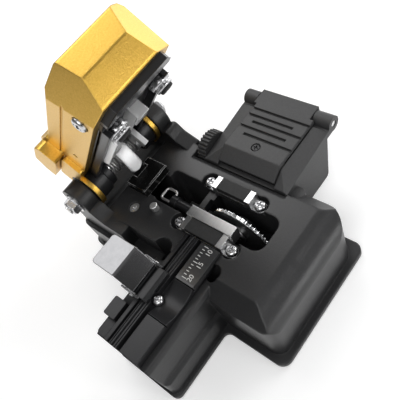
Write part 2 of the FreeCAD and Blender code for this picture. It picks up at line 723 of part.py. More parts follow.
pin_x, pin_y, pin_radius, pin_depth = DECK_HOLES[1]
locating_pin = rod(Vec(pin_x, pin_y, deck_height - pin_depth), AXIS_Z, pin_radius, pin_depth + 2.0)
keep("locating_pin", rounded(locating_pin, 0.3,
                             lambda e: len(e.Vertexes) == 1 and e.CenterOfMass.z > deck_height))
stop_x, stop_y, stop_hole, stop_depth = DECK_HOLES[0]
stop_floor = Vec(stop_x, stop_y, deck_height - stop_depth)
set_height = 3.4
set_screw = rod(stop_floor, AXIS_Z, stop_hole, set_height)
keep("set_screw", set_screw.cut(cross_recess(stop_floor + AXIS_Z * set_height, AXIS_Z, 1.8, 0.7)))

# ---- blade carriage: a block on a rail, driven by the lever through a rod and a wire hook -----------
rail_left = 2.8
rail_right = 4.8
rail_top = 6.0
arm_left = 1.7               # plate that carries the axle, beside the ratchet wheel
arm_right = 3.6
hub_radius = 4.0
axle_radius = 1.55
wheel_thick = 0.9
bridge_front = 6.2
bridge_rear = 8.2
bridge_top = 19.7
drag_x = -2.4
drag_z = 18.9
drag_end = 17.4
drag_radius = 1.5
collar_radius = 1.9
collar_length = 2.2
wire_radius = 0.45
hook_x = -1.3
hook_half = 2.0
hook_end = 22.2
hook_bend = 1.1


def carriage():
    """Slide block with a channel for the rail, an arm up to the axle and a bridge at the rear."""
    body = block(arm_left, slot_right - side_gap, -13, 8, slot_floor + 0.4, 9)
    channel = block(rail_left - 0.15, rail_right + 0.15, -14, 9, 0, rail_top + 0.15)
    plate = side_prism([(blade_y - hub_radius, 8, 0), (blade_y + hub_radius, 8, 0),
                        (blade_y + hub_radius, blade_z, 0), (blade_y - hub_radius, blade_z, 0)],
                       arm_left, arm_right)
    hub = rod(Vec(arm_left, blade_y, blade_z), AXIS_X, hub_radius, arm_right - arm_left)
    upright = block(arm_right - 0.4, slot_right - 0.4, 5.0, bridge_front + 1, 8, bridge_top)
    bridge = block(drag_x - drag_radius, slot_right - 0.4, bridge_front, bridge_rear,
                   drag_z - drag_radius - 0.6, bridge_top)
    return fuse([body.cut(channel), plate, hub, upright, bridge])


def blade_axle():
    """Axle with a shoulder against the arm, drilled for its screw."""
    body = rod(Vec(arm_left, blade_y, blade_z), -AXIS_X, axle_radius, arm_left + 0.6)
    body = body.fuse(rod(Vec(arm_left, blade_y, blade_z), -AXIS_X, axle_radius + 1.0, 0.3))
    return body.cut(rod(Vec(-1, blade_y, blade_z), AXIS_X, shank_radius, 2.2)).removeSplitter()


def drag_rod():
    """Rod from the carriage to the hook, with a collar that holds the wire."""
    body = rod(Vec(drag_x, bridge_rear, drag_z), AXIS_Y, drag_radius, drag_end - bridge_rear)
    collar = rod(Vec(drag_x, drag_end - collar_length, drag_z), AXIS_Y, collar_radius, collar_length)
    return body.fuse(collar).removeSplitter()


def hook_wire():
    """Closed loop of wire with bent corners that the tongue pulls."""
    near = drag_end + wire_radius
    left, right = hook_x - hook_half, hook_x + hook_half
    pieces = []
    long_run = hook_end - near - 2 * hook_bend
    short_run = right - left - 2 * hook_bend
    for x in (left, right):
        pieces.append(rod(Vec(x, near + hook_bend, drag_z), AXIS_Y, wire_radius, long_run))
    for y in (near, hook_end):
        pieces.append(rod(Vec(left + hook_bend, y, drag_z), AXIS_X, wire_radius, short_run))
    bends = [(right, hook_end, -1, -1), (left, hook_end, 1, -1), (left, near, 1, 1), (right, near, -1, 1)]
    for i in range(4):
        x, y, way_x, way_y = bends[i]
        centre = Vec(x + way_x * hook_bend, y + way_y * hook_bend, drag_z)
        bend = Part.makeTorus(hook_bend, wire_radius, Vec(0, 0, 0), AXIS_Z, -180, 180, 90)
        bend.rotate(Vec(0, 0, 0), AXIS_Z, 90 * i)
        bend.translate(centre)
        pieces.append(bend)
    return fuse(pieces)


rail = block(rail_left, rail_right, -slot_front + 2.4, slot_rear - 0.5, slot_floor, rail_top)
keep("carriage_rail", rail)
keep("carriage", carriage())
keep("blade_axle", blade_axle())
keep("axle_screw", pan_screw(Vec(-0.6, blade_y, blade_z), -AXIS_X, 2.6, 1.0, shank_radius, 1.7))
keep("drag_rod", drag_rod())
keep("hook_wire", hook_wire())


# ---- blade -----------------------------------------------------------------------------------------
def blade_disc():
    """Round blade with its edge ground from both faces."""
    half = blade_thick / 2
    ground = blade_radius - 1.1
    bore = axle_radius + running_gap
    profile = [Vec(-half, bore, 0), Vec(-half, ground, 0), Vec(-0.04, blade_radius, 0),
               Vec(0.04, blade_radius, 0), Vec(half, ground, 0), Vec(half, bore, 0), Vec(-half, bore, 0)]
    disc = Part.Face(Part.makePolygon(profile)).revolve(Vec(0, 0, 0), AXIS_X, 360)
    disc.translate(Vec(0, blade_y, blade_z))
    return disc


def ratchet_wheel():
    """Wheel of saw teeth beside the blade, which turns it to a fresh place on its edge."""
    points = []
    outer = blade_radius - 0.15
    for i in range(ratchet_teeth):
        for step, radius in ((0.0, outer), (0.9, outer - 0.85)):
            angle = 2 * math.pi * (i + step) / ratchet_teeth
            points.append((blade_y + radius * math.cos(angle), blade_z + radius * math.sin(angle), 0))
    wheel = side_prism(points, blade_thick / 2, blade_thick / 2 + wheel_thick)
    return wheel.cut(rod(Vec(-1, blade_y, blade_z), AXIS_X, axle_radius + running_gap, 5))


keep("blade_disc", blade_disc())
keep("ratchet_wheel", ratchet_wheel())

# ---- lever: drawn level, u forward of the pivot and v above it, then raised to its rest angle -------
cavity_half = 10.6
cavity_front = 59.0
cavity_top = 14.6
tier_front = 13.0            # front end of the stepped shoulders beside the hinge
tier_lower = lever_half_width + cheek_thick
tier_upper = 16.4
bush_radius = 5.8
bush_inner = 8.2             # inner end of the black knuckle bushes, from the middle
screw_u = 51.6
screw_v = 6.4
lever_screw_radius = 2.05
groove_v = 11.0              # groove along each side of the cover
groove_width = 0.9
groove_depth = 0.45
facet_u = {-1: 56.0, 1: 56.5}      # where each nose facet starts at the rim, left and right
facet_slope = {-1: 2.6, 1: 0.95}   # forward run of a facet for each millimetre inward
facet_lean = {-1: 0.48, 1: 0.0}    # how far a facet leans back for each millimetre of height
hub_radius_level = shaft_radius + 1.5
hub_clearance = 0.4
roof_low = 2.0
bar_low = -1.0
bar_top = 9.6
plunger_u = 46.0
plunger_x = (-7.5, 8.2)
plunger_foot = 2.5           # polished foot of an upper clamp
plunger_well = 3.4           # hole of the plate round it
plunger_flats = (4.6, 5.4)


def uv(u, v, radius):
    return (pivot_y - u, pivot_z + v, radius)


def lever_prism(points, half):
    return side_prism([uv(u, v, r) for u, v, r in points], hinge_x - half, hinge_x + half)


def lever_block(x0, x1, u0, u1, v0, v1):
    return block(x0, x1, pivot_y - u1, pivot_y - u0, pivot_z + v0, pivot_z + v1)


def lever_rod(x, u, v, direction, radius, length):
    return rod(Vec(x, pivot_y - u, pivot_z + v), direction, radius, length)


def raised(shape):
    copy = shape.copy()
    copy.rotate(Vec(0, pivot_y, pivot_z), AXIS_X, -open_angle)
    return copy


def nose_facet(side, inset):
    """Wedge outside the slanting facet at one front corner, moved inward by the inset."""
    low, high, reach = -4.0, 24.0, 30.0
    slope = facet_slope[side]
    start = facet_u[side] - facet_lean[side] * (low - lever_rim)
    corners = []
    for inward, u in ((-2.0, start - 2.0 * slope), (-2.0, start + reach), (reach / slope, start + reach)):
        x = hinge_x + side * (lever_half_width - inset - inward)
        corners.append(Vec(x, pivot_y - u, pivot_z + low))
    face = Part.Face(Part.makePolygon(corners + corners[:1]))
    return face.extrude(Vec(0, facet_lean[side] * (high - low), high - low))


def lever_cover():
    """Folded-looking gold cover: creased nose, slanting corner facets, stepped shoulders and knuckles."""
    nose = lever_length
    profile = [(-4, lever_rim, 1), (nose, lever_rim, 0.8), (nose + nose_bulge, nose_step, 0.8),
               (nose + nose_bulge - nose_lean, lever_top, 1.2), (16, lever_top, 1.5),
               (12.5, lever_top + 1.6, 1.5), (-1, lever_top + 1.6, 1.5), (-4, 14.5, 1.5)]
    shell = lever_prism(profile, lever_half_width)
    edge = 1.2
    top = pivot_z + lever_top
    for side in (-1, 1):
        out = hinge_x + side * (lever_half_width + 1)
        chamfer = [(out, top - edge - 1, 0), (out, top + 1, 0), (out - side * (edge + 2), top + 1, 0)]
        shell = shell.cut(end_prism(chamfer, pivot_y - lever_length - 5, pivot_y - 16.2))
    for side in (-1, 1):
        shell = shell.cut(nose_facet(side, 0))
    low = lever_prism([(-3.5, lever_rim, 1), (tier_front, lever_rim, 1), (tier_front, nose_step, 1),
                       (-3.5, nose_step, 1)], tier_lower)
    high = lever_prism([(-3.5, nose_step + 0.4, 0.8), (tier_front, nose_step + 0.4, 0.8),
                        (tier_front, lever_top - 0.4, 1.5), (tier_front - 2, lever_top + 1.2, 1.5),
                        (-1, lever_top + 1.2, 1.5), (-3.5, 14.0, 1.5)], tier_upper)
    rings = [lever_rod(hinge_x - tier_lower, 0, 0, AXIS_X, knuckle_radius, cheek_thick),
             lever_rod(hinge_x + lever_half_width, 0, 0, AXIS_X, knuckle_radius, cheek_thick)]
    shell = fuse([shell, low, high] + rings)
    cavity = lever_block(hinge_x - cavity_half, hinge_x + cavity_half, -1.5, cavity_front, -9, cavity_top)
    for side in (-1, 1):
        cavity = cavity.cut(nose_facet(side, cover_wall))
    shell = shell.cut(cavity)
    shell = shell.cut(lever_rod(hinge_x - bush_inner, 0, 0, AXIS_X, hub_radius_level + hub_clearance,
                                2 * bush_inner))
    # seats of the bushes, the side screws, the side grooves and the small hole
    for side in (-1, 1):
        out = AXIS_X * side
        face = hinge_x + side * lever_half_width
        shell = shell.cut(lever_rod(hinge_x + side * bush_inner, 0, 0, out, bush_radius, 12))
        shell = shell.cut(lever_rod(face - side * 0.4, screw_u, screw_v, out, lever_screw_radius + 0.2, 2))
        shell = shell.cut(lever_rod(face - side * 3, screw_u, screw_v, out, 1.5, 5))
        shell = shell.cut(lever_block(face - groove_depth, face + groove_depth, tier_front + 0.5, 52.5,
                                      groove_v, groove_v + groove_width))
    shell = shell.cut(lever_rod(hinge_x - lever_half_width - 1, 22.0, 6.6, AXIS_X, 0.8, 5))
    return shell.removeSplitter()


def lever_screws():
    heads = []
    for side in (-1, 1):
        seat = Vec(hinge_x + side * (lever_half_width - 0.4), pivot_y - screw_u, pivot_z + screw_v)
        heads.append(pan_screw(seat, AXIS_X * side, lever_screw_radius, 1.3, 1.5, 4.2))
    return Part.makeCompound(heads)


def pressure_plate():
    """Black plate under the cover: a roof with side cheeks, and a deep bar behind the nose."""
    half = cavity_half
    left, right = hinge_x - half, hinge_x + half
    body = [lever_block(left, right, 5.5, 50, roof_low, lever_rim),
            lever_block(left, left + 1.4, 6.2, 50, -0.2, lever_rim),
            lever_block(right - 1.4, right, 6.2, 50, -0.2, lever_rim),
            lever_block(left, right, 39.5, cavity_front, roof_low, bar_top)]
    for side in (-1, 1):
        body[-1] = body[-1].cut(nose_facet(side, cover_wall))
    rim = [(left, pivot_y - 46.5, 0), (left, pivot_y - 56, 0.5), (hinge_x - 8.4, pivot_y - 60.4, 0.5),
           (hinge_x + 8.4, pivot_y - 60.4, 0.5), (right, pivot_y - 56, 0.5), (right, pivot_y - 46.5, 0)]
    body.append(slab(rim, pivot_z + bar_low, pivot_z + lever_rim))
    plate = fuse(body)
    for x in plunger_x:
        plate = plate.cut(lever_rod(x, plunger_u, -3, AXIS_Z, plunger_well, 3 + lever_rim))
        plate = plate.cut(lever_rod(x, plunger_u, 0, AXIS_Z, 1.25, 8.6))
    for side in (-1, 1):
        end = hinge_x + side * (half + 1)
        plate = plate.cut(lever_rod(end, screw_u, screw_v, AXIS_X * -side, 1.5, 3.8))
    return plate.removeSplitter()


def knuckle_bush(side):
    length = tier_lower - bush_inner
    bush = lever_rod(hinge_x + side * bush_inner, 0, 0, AXIS_X * side, bush_radius, length)
    return bush.cut(lever_rod(hinge_x, 0, 0, AXIS_X * side, shaft_radius + running_gap, 30))


def bent_wire():
    """Stiff wire that runs back from the adjusting bracket."""
    path = [Vec(-8.2, pivot_y - 26, pivot_z + 0.4), Vec(-8.2, pivot_y - 22.5, pivot_z - 0.7),
            Vec(-8.2, pivot_y - 16, pivot_z - 0.3)]
    pieces = []
    for i in range(2):
        run = path[i + 1] - path[i]
        pieces.append(rod(path[i], run, wire_radius, run.Length))
        pieces.append(Part.makeSphere(wire_radius, path[i + 1]))
    wire = fuse(pieces)
    return wire.cut(lever_block(-12, 0, 26, 32, -4, 4))


def adjust_bracket():
    """Steel block under the roof with a cross screw in its face."""
    left, right, near, far, low = -10.1, -5.8, 26.0, 31.0, -1.6
    body = rounded(lever_block(left, right, near, far, low, roof_low), 0.4, is_vertical)
    centre = Vec((left + right) / 2, pivot_y - (near + far) / 2, pivot_z + low)
    return body.cut(cross_recess(centre, -AXIS_Z, 2.2, 0.6))


def tongue():
    """Reset tongue: a hub on the shaft and a thin plate that hangs into the link slot."""
    hub = lever_rod(tongue_left, 0, 0, AXIS_X, hub_radius_level, tongue_right - tongue_left)
    u0, u1 = tongue_u - tongue_thick / 2, tongue_u + tongue_thick / 2
    body = fuse([hub, lever_block(tongue_left, tongue_right, 1, u0 + 0.1, -1, 1),
                 lever_block(tongue_left, tongue_right, u0, u1, -tongue_drop, roof_low)])
    return body.cut(lever_rod(tongue_left - 1, 0, 0, AXIS_X, shaft_radius + running_gap, 9))


def trip_bar():
    hub = lever_rod(5.2, 0, 0, AXIS_X, hub_radius_level, 1.7)
    body = fuse([hub, lever_block(5.2, 6.9, 1, 9, -2, 0), lever_block(5.2, 6.9, 6, 9, -5, roof_low)])
    return body.cut(lever_rod(4, 0, 0, AXIS_X, shaft_radius + running_gap, 5))


def anvil():
    return rounded(lever_block(-1.2, 2.8, 37.4, 39.4, -1.6, roof_low).fuse(
        lever_block(-1.2, 2.8, 37.4, 42.4, -1.6, roof_low)).removeSplitter(), 0.4, is_vertical)


def plunger(x, flats):
    """Upper clamp: a stem in the bar, a hexagon and a round foot for its rubber."""
    pieces = [lever_rod(x, plunger_u, 1.0, AXIS_Z, 1.2, 6.4),
              hexagon(Vec(x, pivot_y - plunger_u, pivot_z - 0.2), AXIS_Z, flats, 2.1),
              lever_rod(x, plunger_u, -1.7, AXIS_Z, plunger_foot, 1.6),
              lever_rod(x, plunger_u, -1.4, AXIS_Z, plunger_foot + 0.25, 0.5)]
    return fuse(pieces)


def plunger_tip(x):
    tip = lever_rod(x, plunger_u, -2.35, AXIS_Z, 1.9, 0.65)
    return rounded(tip, 0.45, lambda e: len(e.Vertexes) == 1 and e.CenterOfMass.z < pivot_z - 2)


keep("lever_cover", raised(lever_cover()))
keep("lever_screws", raised(lever_screws()))
keep("pressure_plate", raised(pressure_plate()))
keep("knuckle_bushes", raised(Part.makeCompound([knuckle_bush(-1), knuckle_bush(1)])))
keep("adjust_bracket", raised(adjust_bracket()))
keep("bent_wire", raised(bent_wire()))
keep("anvil", raised(anvil()))
keep("guide_plate", raised(lever_block(-2.4, -1.8, 36, 46.4, -1.2, roof_low)))
keep("reset_tongue", raised(tongue()))
keep("trip_bar", raised(trip_bar()))
for side, x, flats in zip(names, plunger_x, plunger_flats):
    keep("plunger_" + side, raised(plunger(x, flats)))
    keep("plunger_tip_" + side, raised(plunger_tip(x)))
keep("torsion_springs", raised(Part.makeCompound([
    coil(Vec(-9.0, pivot_y, pivot_z), AXIS_X, 3.3, 0.8, 4, 3.3),
    coil(Vec(2.5, pivot_y, pivot_z), AXIS_X, 3.3, 0.8, 3, 2.5)])))

# ---- scrap bin ----------------------------------------------------------------------------------------
cavity_front_y = -bin_front + bin_wall
cavity_rear_y = bin_rear - bin_wall
bin_floor = bin_bottom + bin_wall
frame_bottom = roller_z + roller_axle + 0.6
lid_knuckle_front = -8.5
lid_knuckle_rear = 11.2
entry_height = 21.2          # the fibre passes over the inner wall here
lid_pin_radius = 1.0
lid_groove_half = 0.45
lid_groove_depth = 0.75
lid_screw_x = 21.2
lid_screw_seat = 0.6
lid_screw_radius = 1.3
lid_grooves = [(33.7, -9.9, 10.2), (31.2, -5.9, 10.2), (29.0, -9.9, 7.0), (26.6, -6.4, 10.2),
               (24.1, -9.9, 6.8)]


def frame_wedge(side):
    """What is bevelled off a side frame; the bevel is steeper towards the casting."""
    inner_y = -lid_front if side < 0 else lid_rear
    outer_y = -bin_front if side < 0 else bin_rear
    wires = []
    for x, edge_z in ((bin_inner_x - 1, 21.4), (bin_outer_x + 8, 24.6)):
        drop = (bin_frame_height - edge_z) / (outer_y - inner_y)
        far = outer_y + side * 3
        low = bin_frame_height - drop * (far - inner_y)
        corners = [Vec(x, inner_y, bin_frame_height), Vec(x, far, low), Vec(x, far, 40), Vec(x, inner_y, 40)]
        wires.append(Part.makePolygon(corners + corners[:1]))
    return Part.makeLoft(wires, True, True)


def scrap_bin():
    """Box with a leaning far wall, side frames beside the lid, hinge knuckles and a lug."""
    outer = [(bin_inner_x, bin_bottom, 0.6), (bin_bottom_outer_x, bin_bottom, 1.5),
             (bin_outer_x, bin_frame_height - 1, 0.6), (bin_outer_x - 0.6, bin_frame_height, 0),
             (lid_bend_x, bin_frame_height, 1),
             (bin_inner_x, bin_edge_height, 0.4)]
    body = end_prism(outer, -bin_front, bin_rear)
    lean = (bin_outer_x - bin_bottom_outer_x) / (bin_frame_height - 1 - bin_bottom)
    inside = [(bin_inner_x + bin_wall, bin_floor, 0), (bin_bottom_outer_x - bin_wall + lean, bin_floor, 0),
              (bin_bottom_outer_x - bin_wall + lean * (frame_bottom - bin_bottom), frame_bottom, 0),
              (bin_inner_x + bin_wall, frame_bottom, 0)]
    body = body.cut(end_prism(inside, cavity_front_y, cavity_rear_y))
    near, far = -lid_front - side_gap, lid_rear + side_gap
    mouth_right = bin_outer_x - bin_wall - 0.4
    mouth = [(bin_inner_x + bin_wall, frame_bottom - 1, 0), (mouth_right, frame_bottom - 1, 0),
             (mouth_right, 40, 0), (bin_inner_x + bin_wall, 40, 0)]
    body = body.cut(end_prism(mouth, near, far))
    body = body.cut(block(bin_inner_x - 1, bin_inner_x + bin_wall + 1, near, far, entry_height, 40))
    body = body.cut(block(bin_outer_x - 4, bin_outer_x + 2, near, far, 24.0, 40))
    for side in (-1, 1):
        body = body.cut(frame_wedge(side))
    reach = lid_axis_x - bin_outer_x + 1.5
    for y0, y1 in ((-bin_front, lid_knuckle_front - side_gap), (lid_knuckle_rear + side_gap, bin_rear)):
        knuckle = rod(Vec(lid_axis_x, y0, lid_axis_z), AXIS_Y, lid_knuckle_radius, y1 - y0)
        web_low = lid_axis_z - 2.2
        web = end_prism([(lid_axis_x - reach, web_low, 0), (lid_axis_x + 0.8, web_low, 0),
                         (lid_axis_x + 1, lid_axis_z, 0), (lid_axis_x - reach, lid_axis_z - 0.4, 0)], y0, y1)
        body = body.fuse([knuckle, web])
    body = body.cut(rod(Vec(lid_axis_x, -bin_front - 1, lid_axis_z), AXIS_Y, lid_pin_radius, 40))
    body = body.cut(rod(Vec(roller_x, cavity_front_y - 0.9, roller_z), AXIS_Y, roller_axle + running_gap,
                        40))
    return body.fuse(bin_lug(0)).removeSplitter()


def bin_lid():
    """Flat lid with a sloping lip, five grooves, two lugs for the idle roller and its hinge knuckle."""
    t = lid_thick
    top = lid_bend_z
    profile = [(lid_lip_x, lid_lip_z, 0.3), (lid_bend_x, top, 1.0), (lid_axis_x - 2.8, top, 0),
               (lid_axis_x - 2.8, top - t, 0), (lid_bend_x + 0.5, top - t, 0.6),
               (lid_lip_x + 0.3, lid_lip_z - t, 0.3)]
    plate = end_prism(profile, -lid_front, lid_rear)
    outer = lid_axis_x + lid_knuckle_radius
    neck_plate = block(lid_axis_x - 3.2, outer, lid_knuckle_front, lid_knuckle_rear, top - t, top)
    end_plate = block(lid_axis_x, outer, lid_knuckle_front, lid_knuckle_rear, lid_axis_z, top)
    neck_plate = neck_plate.fuse(end_plate)
    knuckle = rod(Vec(lid_axis_x, lid_knuckle_front, lid_axis_z), AXIS_Y, lid_knuckle_radius,
                  lid_knuckle_rear - lid_knuckle_front)
    shapes = [plate, neck_plate, knuckle]
    idler_z = roller_z + roller_radius + idler_radius + 0.35
    for y0 in (-lid_front, lid_rear - 0.8):
        shapes.append(block(roller_x - 1.1, roller_x + 1.1, y0, y0 + 0.8, idler_z - 0.8, top - t + 0.1))
    body = fuse(shapes)
    body = body.cut(rod(Vec(lid_axis_x, -bin_front, lid_axis_z), AXIS_Y, lid_pin_radius + running_gap, 40))
    body = body.cut(rod(Vec(roller_x, -20, idler_z), AXIS_Y, 0.5 + running_gap, 40))
    for x, y0, y1 in lid_grooves:
        body = body.cut(block(x - lid_groove_half, x + lid_groove_half, y0 - 0.1, y1 + 0.1,
                              top - lid_groove_depth, top + 1))
    seat = Vec(lid_screw_x, 0.3, top - lid_screw_seat)
    body = body.cut(rod(seat, AXIS_Z, lid_screw_radius + 0.15, 4))
    return body.cut(rod(seat - AXIS_Z * 3, AXIS_Z, 0.8, 4)).removeSplitter()


def roller_knob():
    """Ribbed thumbwheel on the end of the roller's axle."""
    points = []
    ribs = 28
    low = knob_radius - 0.45
    for i in range(ribs):
        for step, radius in ((0.0, knob_radius), (0.45, knob_radius), (0.6, low), (0.85, low)):
            angle = 2 * math.pi * (i + step) / ribs
            points.append((roller_x + radius * math.cos(angle), roller_z + radius * math.sin(angle), 0))
    wheel = end_prism(points, bin_rear + side_gap, bin_rear + side_gap + knob_length)
    return wheel.cut(rod(Vec(roller_x, 0, roller_z), AXIS_Y, roller_axle, 40))


keep("scrap_bin", scrap_bin())
keep("bin_lid", bin_lid())
keep("lid_pin", rod(Vec(lid_axis_x, -bin_front + 0.2, lid_axis_z), AXIS_Y, lid_pin_radius,
                    bin_front + bin_rear - 0.4))
lid_screw_length = lid_thick - lid_screw_seat + 0.2
keep("lid_screw", pan_screw(Vec(lid_screw_x, 0.3, lid_bend_z - lid_screw_seat), AXIS_Z, lid_screw_radius,
                            0.5, 0.8, lid_screw_length))
roller_front = -lid_front + 1.0
roller_length = lid_front + lid_rear - 2.0
drive_roller = rod(Vec(roller_x, roller_front, roller_z), AXIS_Y, roller_radius, roller_length)
keep("drive_roller", drive_roller.cut(rod(Vec(roller_x, -12, roller_z), AXIS_Y, roller_axle, 30)))
keep("roller_axle", rod(Vec(roller_x, cavity_front_y - 0.7, roller_z), AXIS_Y, roller_axle,
                        bin_rear + side_gap + knob_length - cavity_front_y + 0.7))
keep("roller_knob", roller_knob())
idler_z = roller_z + roller_radius + idler_radius + 0.35
idle_roller = rod(Vec(roller_x, roller_front, idler_z), AXIS_Y, idler_radius, roller_length)
keep("idle_roller", idle_roller.cut(rod(Vec(roller_x, -12, idler_z), AXIS_Y, 0.55, 30)))
keep("idle_axle", rod(Vec(roller_x, -lid_front + 0.1, idler_z), AXIS_Y, 0.5, lid_front + lid_rear - 0.2))

# ---- export: the middle of the whole part's base moves to the origin ------------------------------------
to_base_centre = Vec(2.95, -9.83, 0)
os.makedirs("parts", exist_ok=True)
for name, shape in PARTS.items():
    shape.translate(to_base_centre)
    print(name, len(shape.Solids), round(shape.Volume, 1), shape.isValid())
    shape.exportStep("parts/" + name + ".step")
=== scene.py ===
# Fibre cleaver with its lever up, on a pale studio floor. Metres; +Z up, +Y towards the hinge.
import json
import math
import bpy
import numpy as np
from mathutils import Matrix


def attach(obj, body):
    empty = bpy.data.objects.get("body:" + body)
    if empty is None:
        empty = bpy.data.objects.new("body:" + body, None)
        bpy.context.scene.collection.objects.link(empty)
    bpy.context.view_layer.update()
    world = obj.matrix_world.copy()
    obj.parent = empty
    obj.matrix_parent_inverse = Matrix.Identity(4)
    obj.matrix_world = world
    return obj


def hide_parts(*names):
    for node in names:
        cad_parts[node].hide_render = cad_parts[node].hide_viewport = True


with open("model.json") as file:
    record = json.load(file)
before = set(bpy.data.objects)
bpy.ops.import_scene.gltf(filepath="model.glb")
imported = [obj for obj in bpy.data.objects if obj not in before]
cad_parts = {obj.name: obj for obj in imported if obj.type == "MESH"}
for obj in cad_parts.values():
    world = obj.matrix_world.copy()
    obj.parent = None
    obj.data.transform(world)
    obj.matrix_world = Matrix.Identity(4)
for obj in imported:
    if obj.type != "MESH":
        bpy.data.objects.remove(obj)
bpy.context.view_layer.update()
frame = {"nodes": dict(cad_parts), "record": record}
nodes = frame["nodes"]
mm = 0.001
print("frame loaded:", len(nodes), "nodes")


# Small helpers for shader nodes, and the numbers of the mix node's sockets for colours.
mixFirst, mixSecond, mixResult = 6, 7, 2


def addNode(tree, kind, **values):
    node = tree.nodes.new(kind)
    for key, value in values.items():
        setattr(node, key, value)
    return node


def setInputs(node, **values):
    for key, value in values.items():
        node.inputs[key.replace("_", " ")].default_value = value


def newGroup(name, inputs, outputs):
    group = bpy.data.node_groups.new(name, "ShaderNodeTree")
    for label, kind, default in inputs:
        socket = group.interface.new_socket(name=label, in_out="INPUT", socket_type=kind)
        socket.default_value = default
    for label, kind in outputs:
        group.interface.new_socket(name=label, in_out="OUTPUT", socket_type=kind)
    return group, addNode(group, "NodeGroupInput"), addNode(group, "NodeGroupOutput")


def mathNode(tree, operation, a, b, clamp=False):
    node = addNode(tree, "ShaderNodeMath", operation=operation, use_clamp=clamp)
    for index, value in enumerate((a, b)):
        if isinstance(value, (int, float)):
            node.inputs[index].default_value = value
        else:
            tree.links.new(value, node.inputs[index])
    return node.outputs[0]


# Grain: fine noise in object space, as a height and as a soft change between two colours.
def makeGrainGroup():
    group, start, end = newGroup("surfaceGrain", [
        ("Scale", "NodeSocketFloat", 3000.0), ("Stretch", "NodeSocketVector", (1.0, 1.0, 1.0)),
        ("Contrast", "NodeSocketFloat", 0.5), ("Base", "NodeSocketColor", (0.5, 0.5, 0.5, 1)),
        ("Fleck", "NodeSocketColor", (0.6, 0.6, 0.6, 1))],
        [("Colour", "NodeSocketColor"), ("Height", "NodeSocketFloat")])
    place = addNode(group, "ShaderNodeTexCoord")
    stretch = addNode(group, "ShaderNodeVectorMath", operation="MULTIPLY")
    group.links.new(place.outputs["Object"], stretch.inputs[0])
    group.links.new(start.outputs["Stretch"], stretch.inputs[1])
    noise = addNode(group, "ShaderNodeTexNoise")
    setInputs(noise, Detail=3.0, Roughness=0.6)
    group.links.new(stretch.outputs[0], noise.inputs["Vector"])
    group.links.new(start.outputs["Scale"], noise.inputs["Scale"])
    centred = mathNode(group, "SUBTRACT", noise.outputs["Fac"], 0.5)
    spread = mathNode(group, "MULTIPLY", centred, start.outputs["Contrast"])
    mask = mathNode(group, "ADD", spread, 0.5, clamp=True)
    mix = addNode(group, "ShaderNodeMix", data_type="RGBA")
    group.links.new(mask, mix.inputs["Factor"])
    group.links.new(start.outputs["Base"], mix.inputs[mixFirst])
    group.links.new(start.outputs["Fleck"], mix.inputs[mixSecond])
    group.links.new(mix.outputs[mixResult], end.inputs["Colour"])
    group.links.new(noise.outputs["Fac"], end.inputs["Height"])
    return group


# Edge wear and painted highlight: the angle between the true normal and a rounded one picks out edges; broad
# noise breaks it up. The edge colour is wear on most finishes and a painted highlight on gloss black.
def makeEdgeGroup():
    group, start, end = newGroup("edgeWearAndHighlight", [
        ("Width", "NodeSocketFloat", 0.0003), ("Amount", "NodeSocketFloat", 0.5),
        ("Patch Scale", "NodeSocketFloat", 180.0)],
        [("Mask", "NodeSocketFloat"), ("Normal", "NodeSocketVector")])
    soft = addNode(group, "ShaderNodeBevel", samples=6)
    group.links.new(start.outputs["Width"], soft.inputs["Radius"])
    shape = addNode(group, "ShaderNodeNewGeometry")
    dot = addNode(group, "ShaderNodeVectorMath", operation="DOT_PRODUCT")
    group.links.new(soft.outputs[0], dot.inputs[0])
    group.links.new(shape.outputs["Normal"], dot.inputs[1])
    turned = mathNode(group, "SUBTRACT", 1.0, dot.outputs["Value"])
    edgeGain, patchFloor, patchGain = 6.0, 0.35, 2.2
    sharp = mathNode(group, "MULTIPLY", turned, edgeGain, clamp=True)
    place = addNode(group, "ShaderNodeTexCoord")
    noise = addNode(group, "ShaderNodeTexNoise")
    setInputs(noise, Detail=4.0, Roughness=0.65)
    group.links.new(place.outputs["Object"], noise.inputs["Vector"])
    group.links.new(start.outputs["Patch Scale"], noise.inputs["Scale"])
    above = mathNode(group, "SUBTRACT", noise.outputs["Fac"], patchFloor)
    patch = mathNode(group, "MULTIPLY", above, patchGain, clamp=True)
    broken = mathNode(group, "MULTIPLY", sharp, patch)
    mask = mathNode(group, "MULTIPLY", broken, start.outputs["Amount"], clamp=True)
    group.links.new(mask, end.inputs["Mask"])
    group.links.new(soft.outputs[0], end.inputs["Normal"])
    return group


# Handling: large soft blotches that lift the roughness where fingers have been.
def makeHandlingGroup():
    group, start, end = newGroup("fingerHaze", [
        ("Scale", "NodeSocketFloat", 60.0), ("Low", "NodeSocketFloat", 0.3),
        ("High", "NodeSocketFloat", 0.4)],
        [("Roughness", "NodeSocketFloat")])
    place = addNode(group, "ShaderNodeTexCoord")
    noise = addNode(group, "ShaderNodeTexNoise")
    setInputs(noise, Detail=5.0, Roughness=0.7, Distortion=0.6)
    group.links.new(place.outputs["Object"], noise.inputs["Vector"])
    group.links.new(start.outputs["Scale"], noise.inputs["Scale"])
    span = mathNode(group, "SUBTRACT", start.outputs["High"], start.outputs["Low"])
    swing = mathNode(group, "MULTIPLY", noise.outputs["Fac"], span)
    group.links.new(mathNode(group, "ADD", swing, start.outputs["Low"]), end.inputs["Roughness"])
    return group
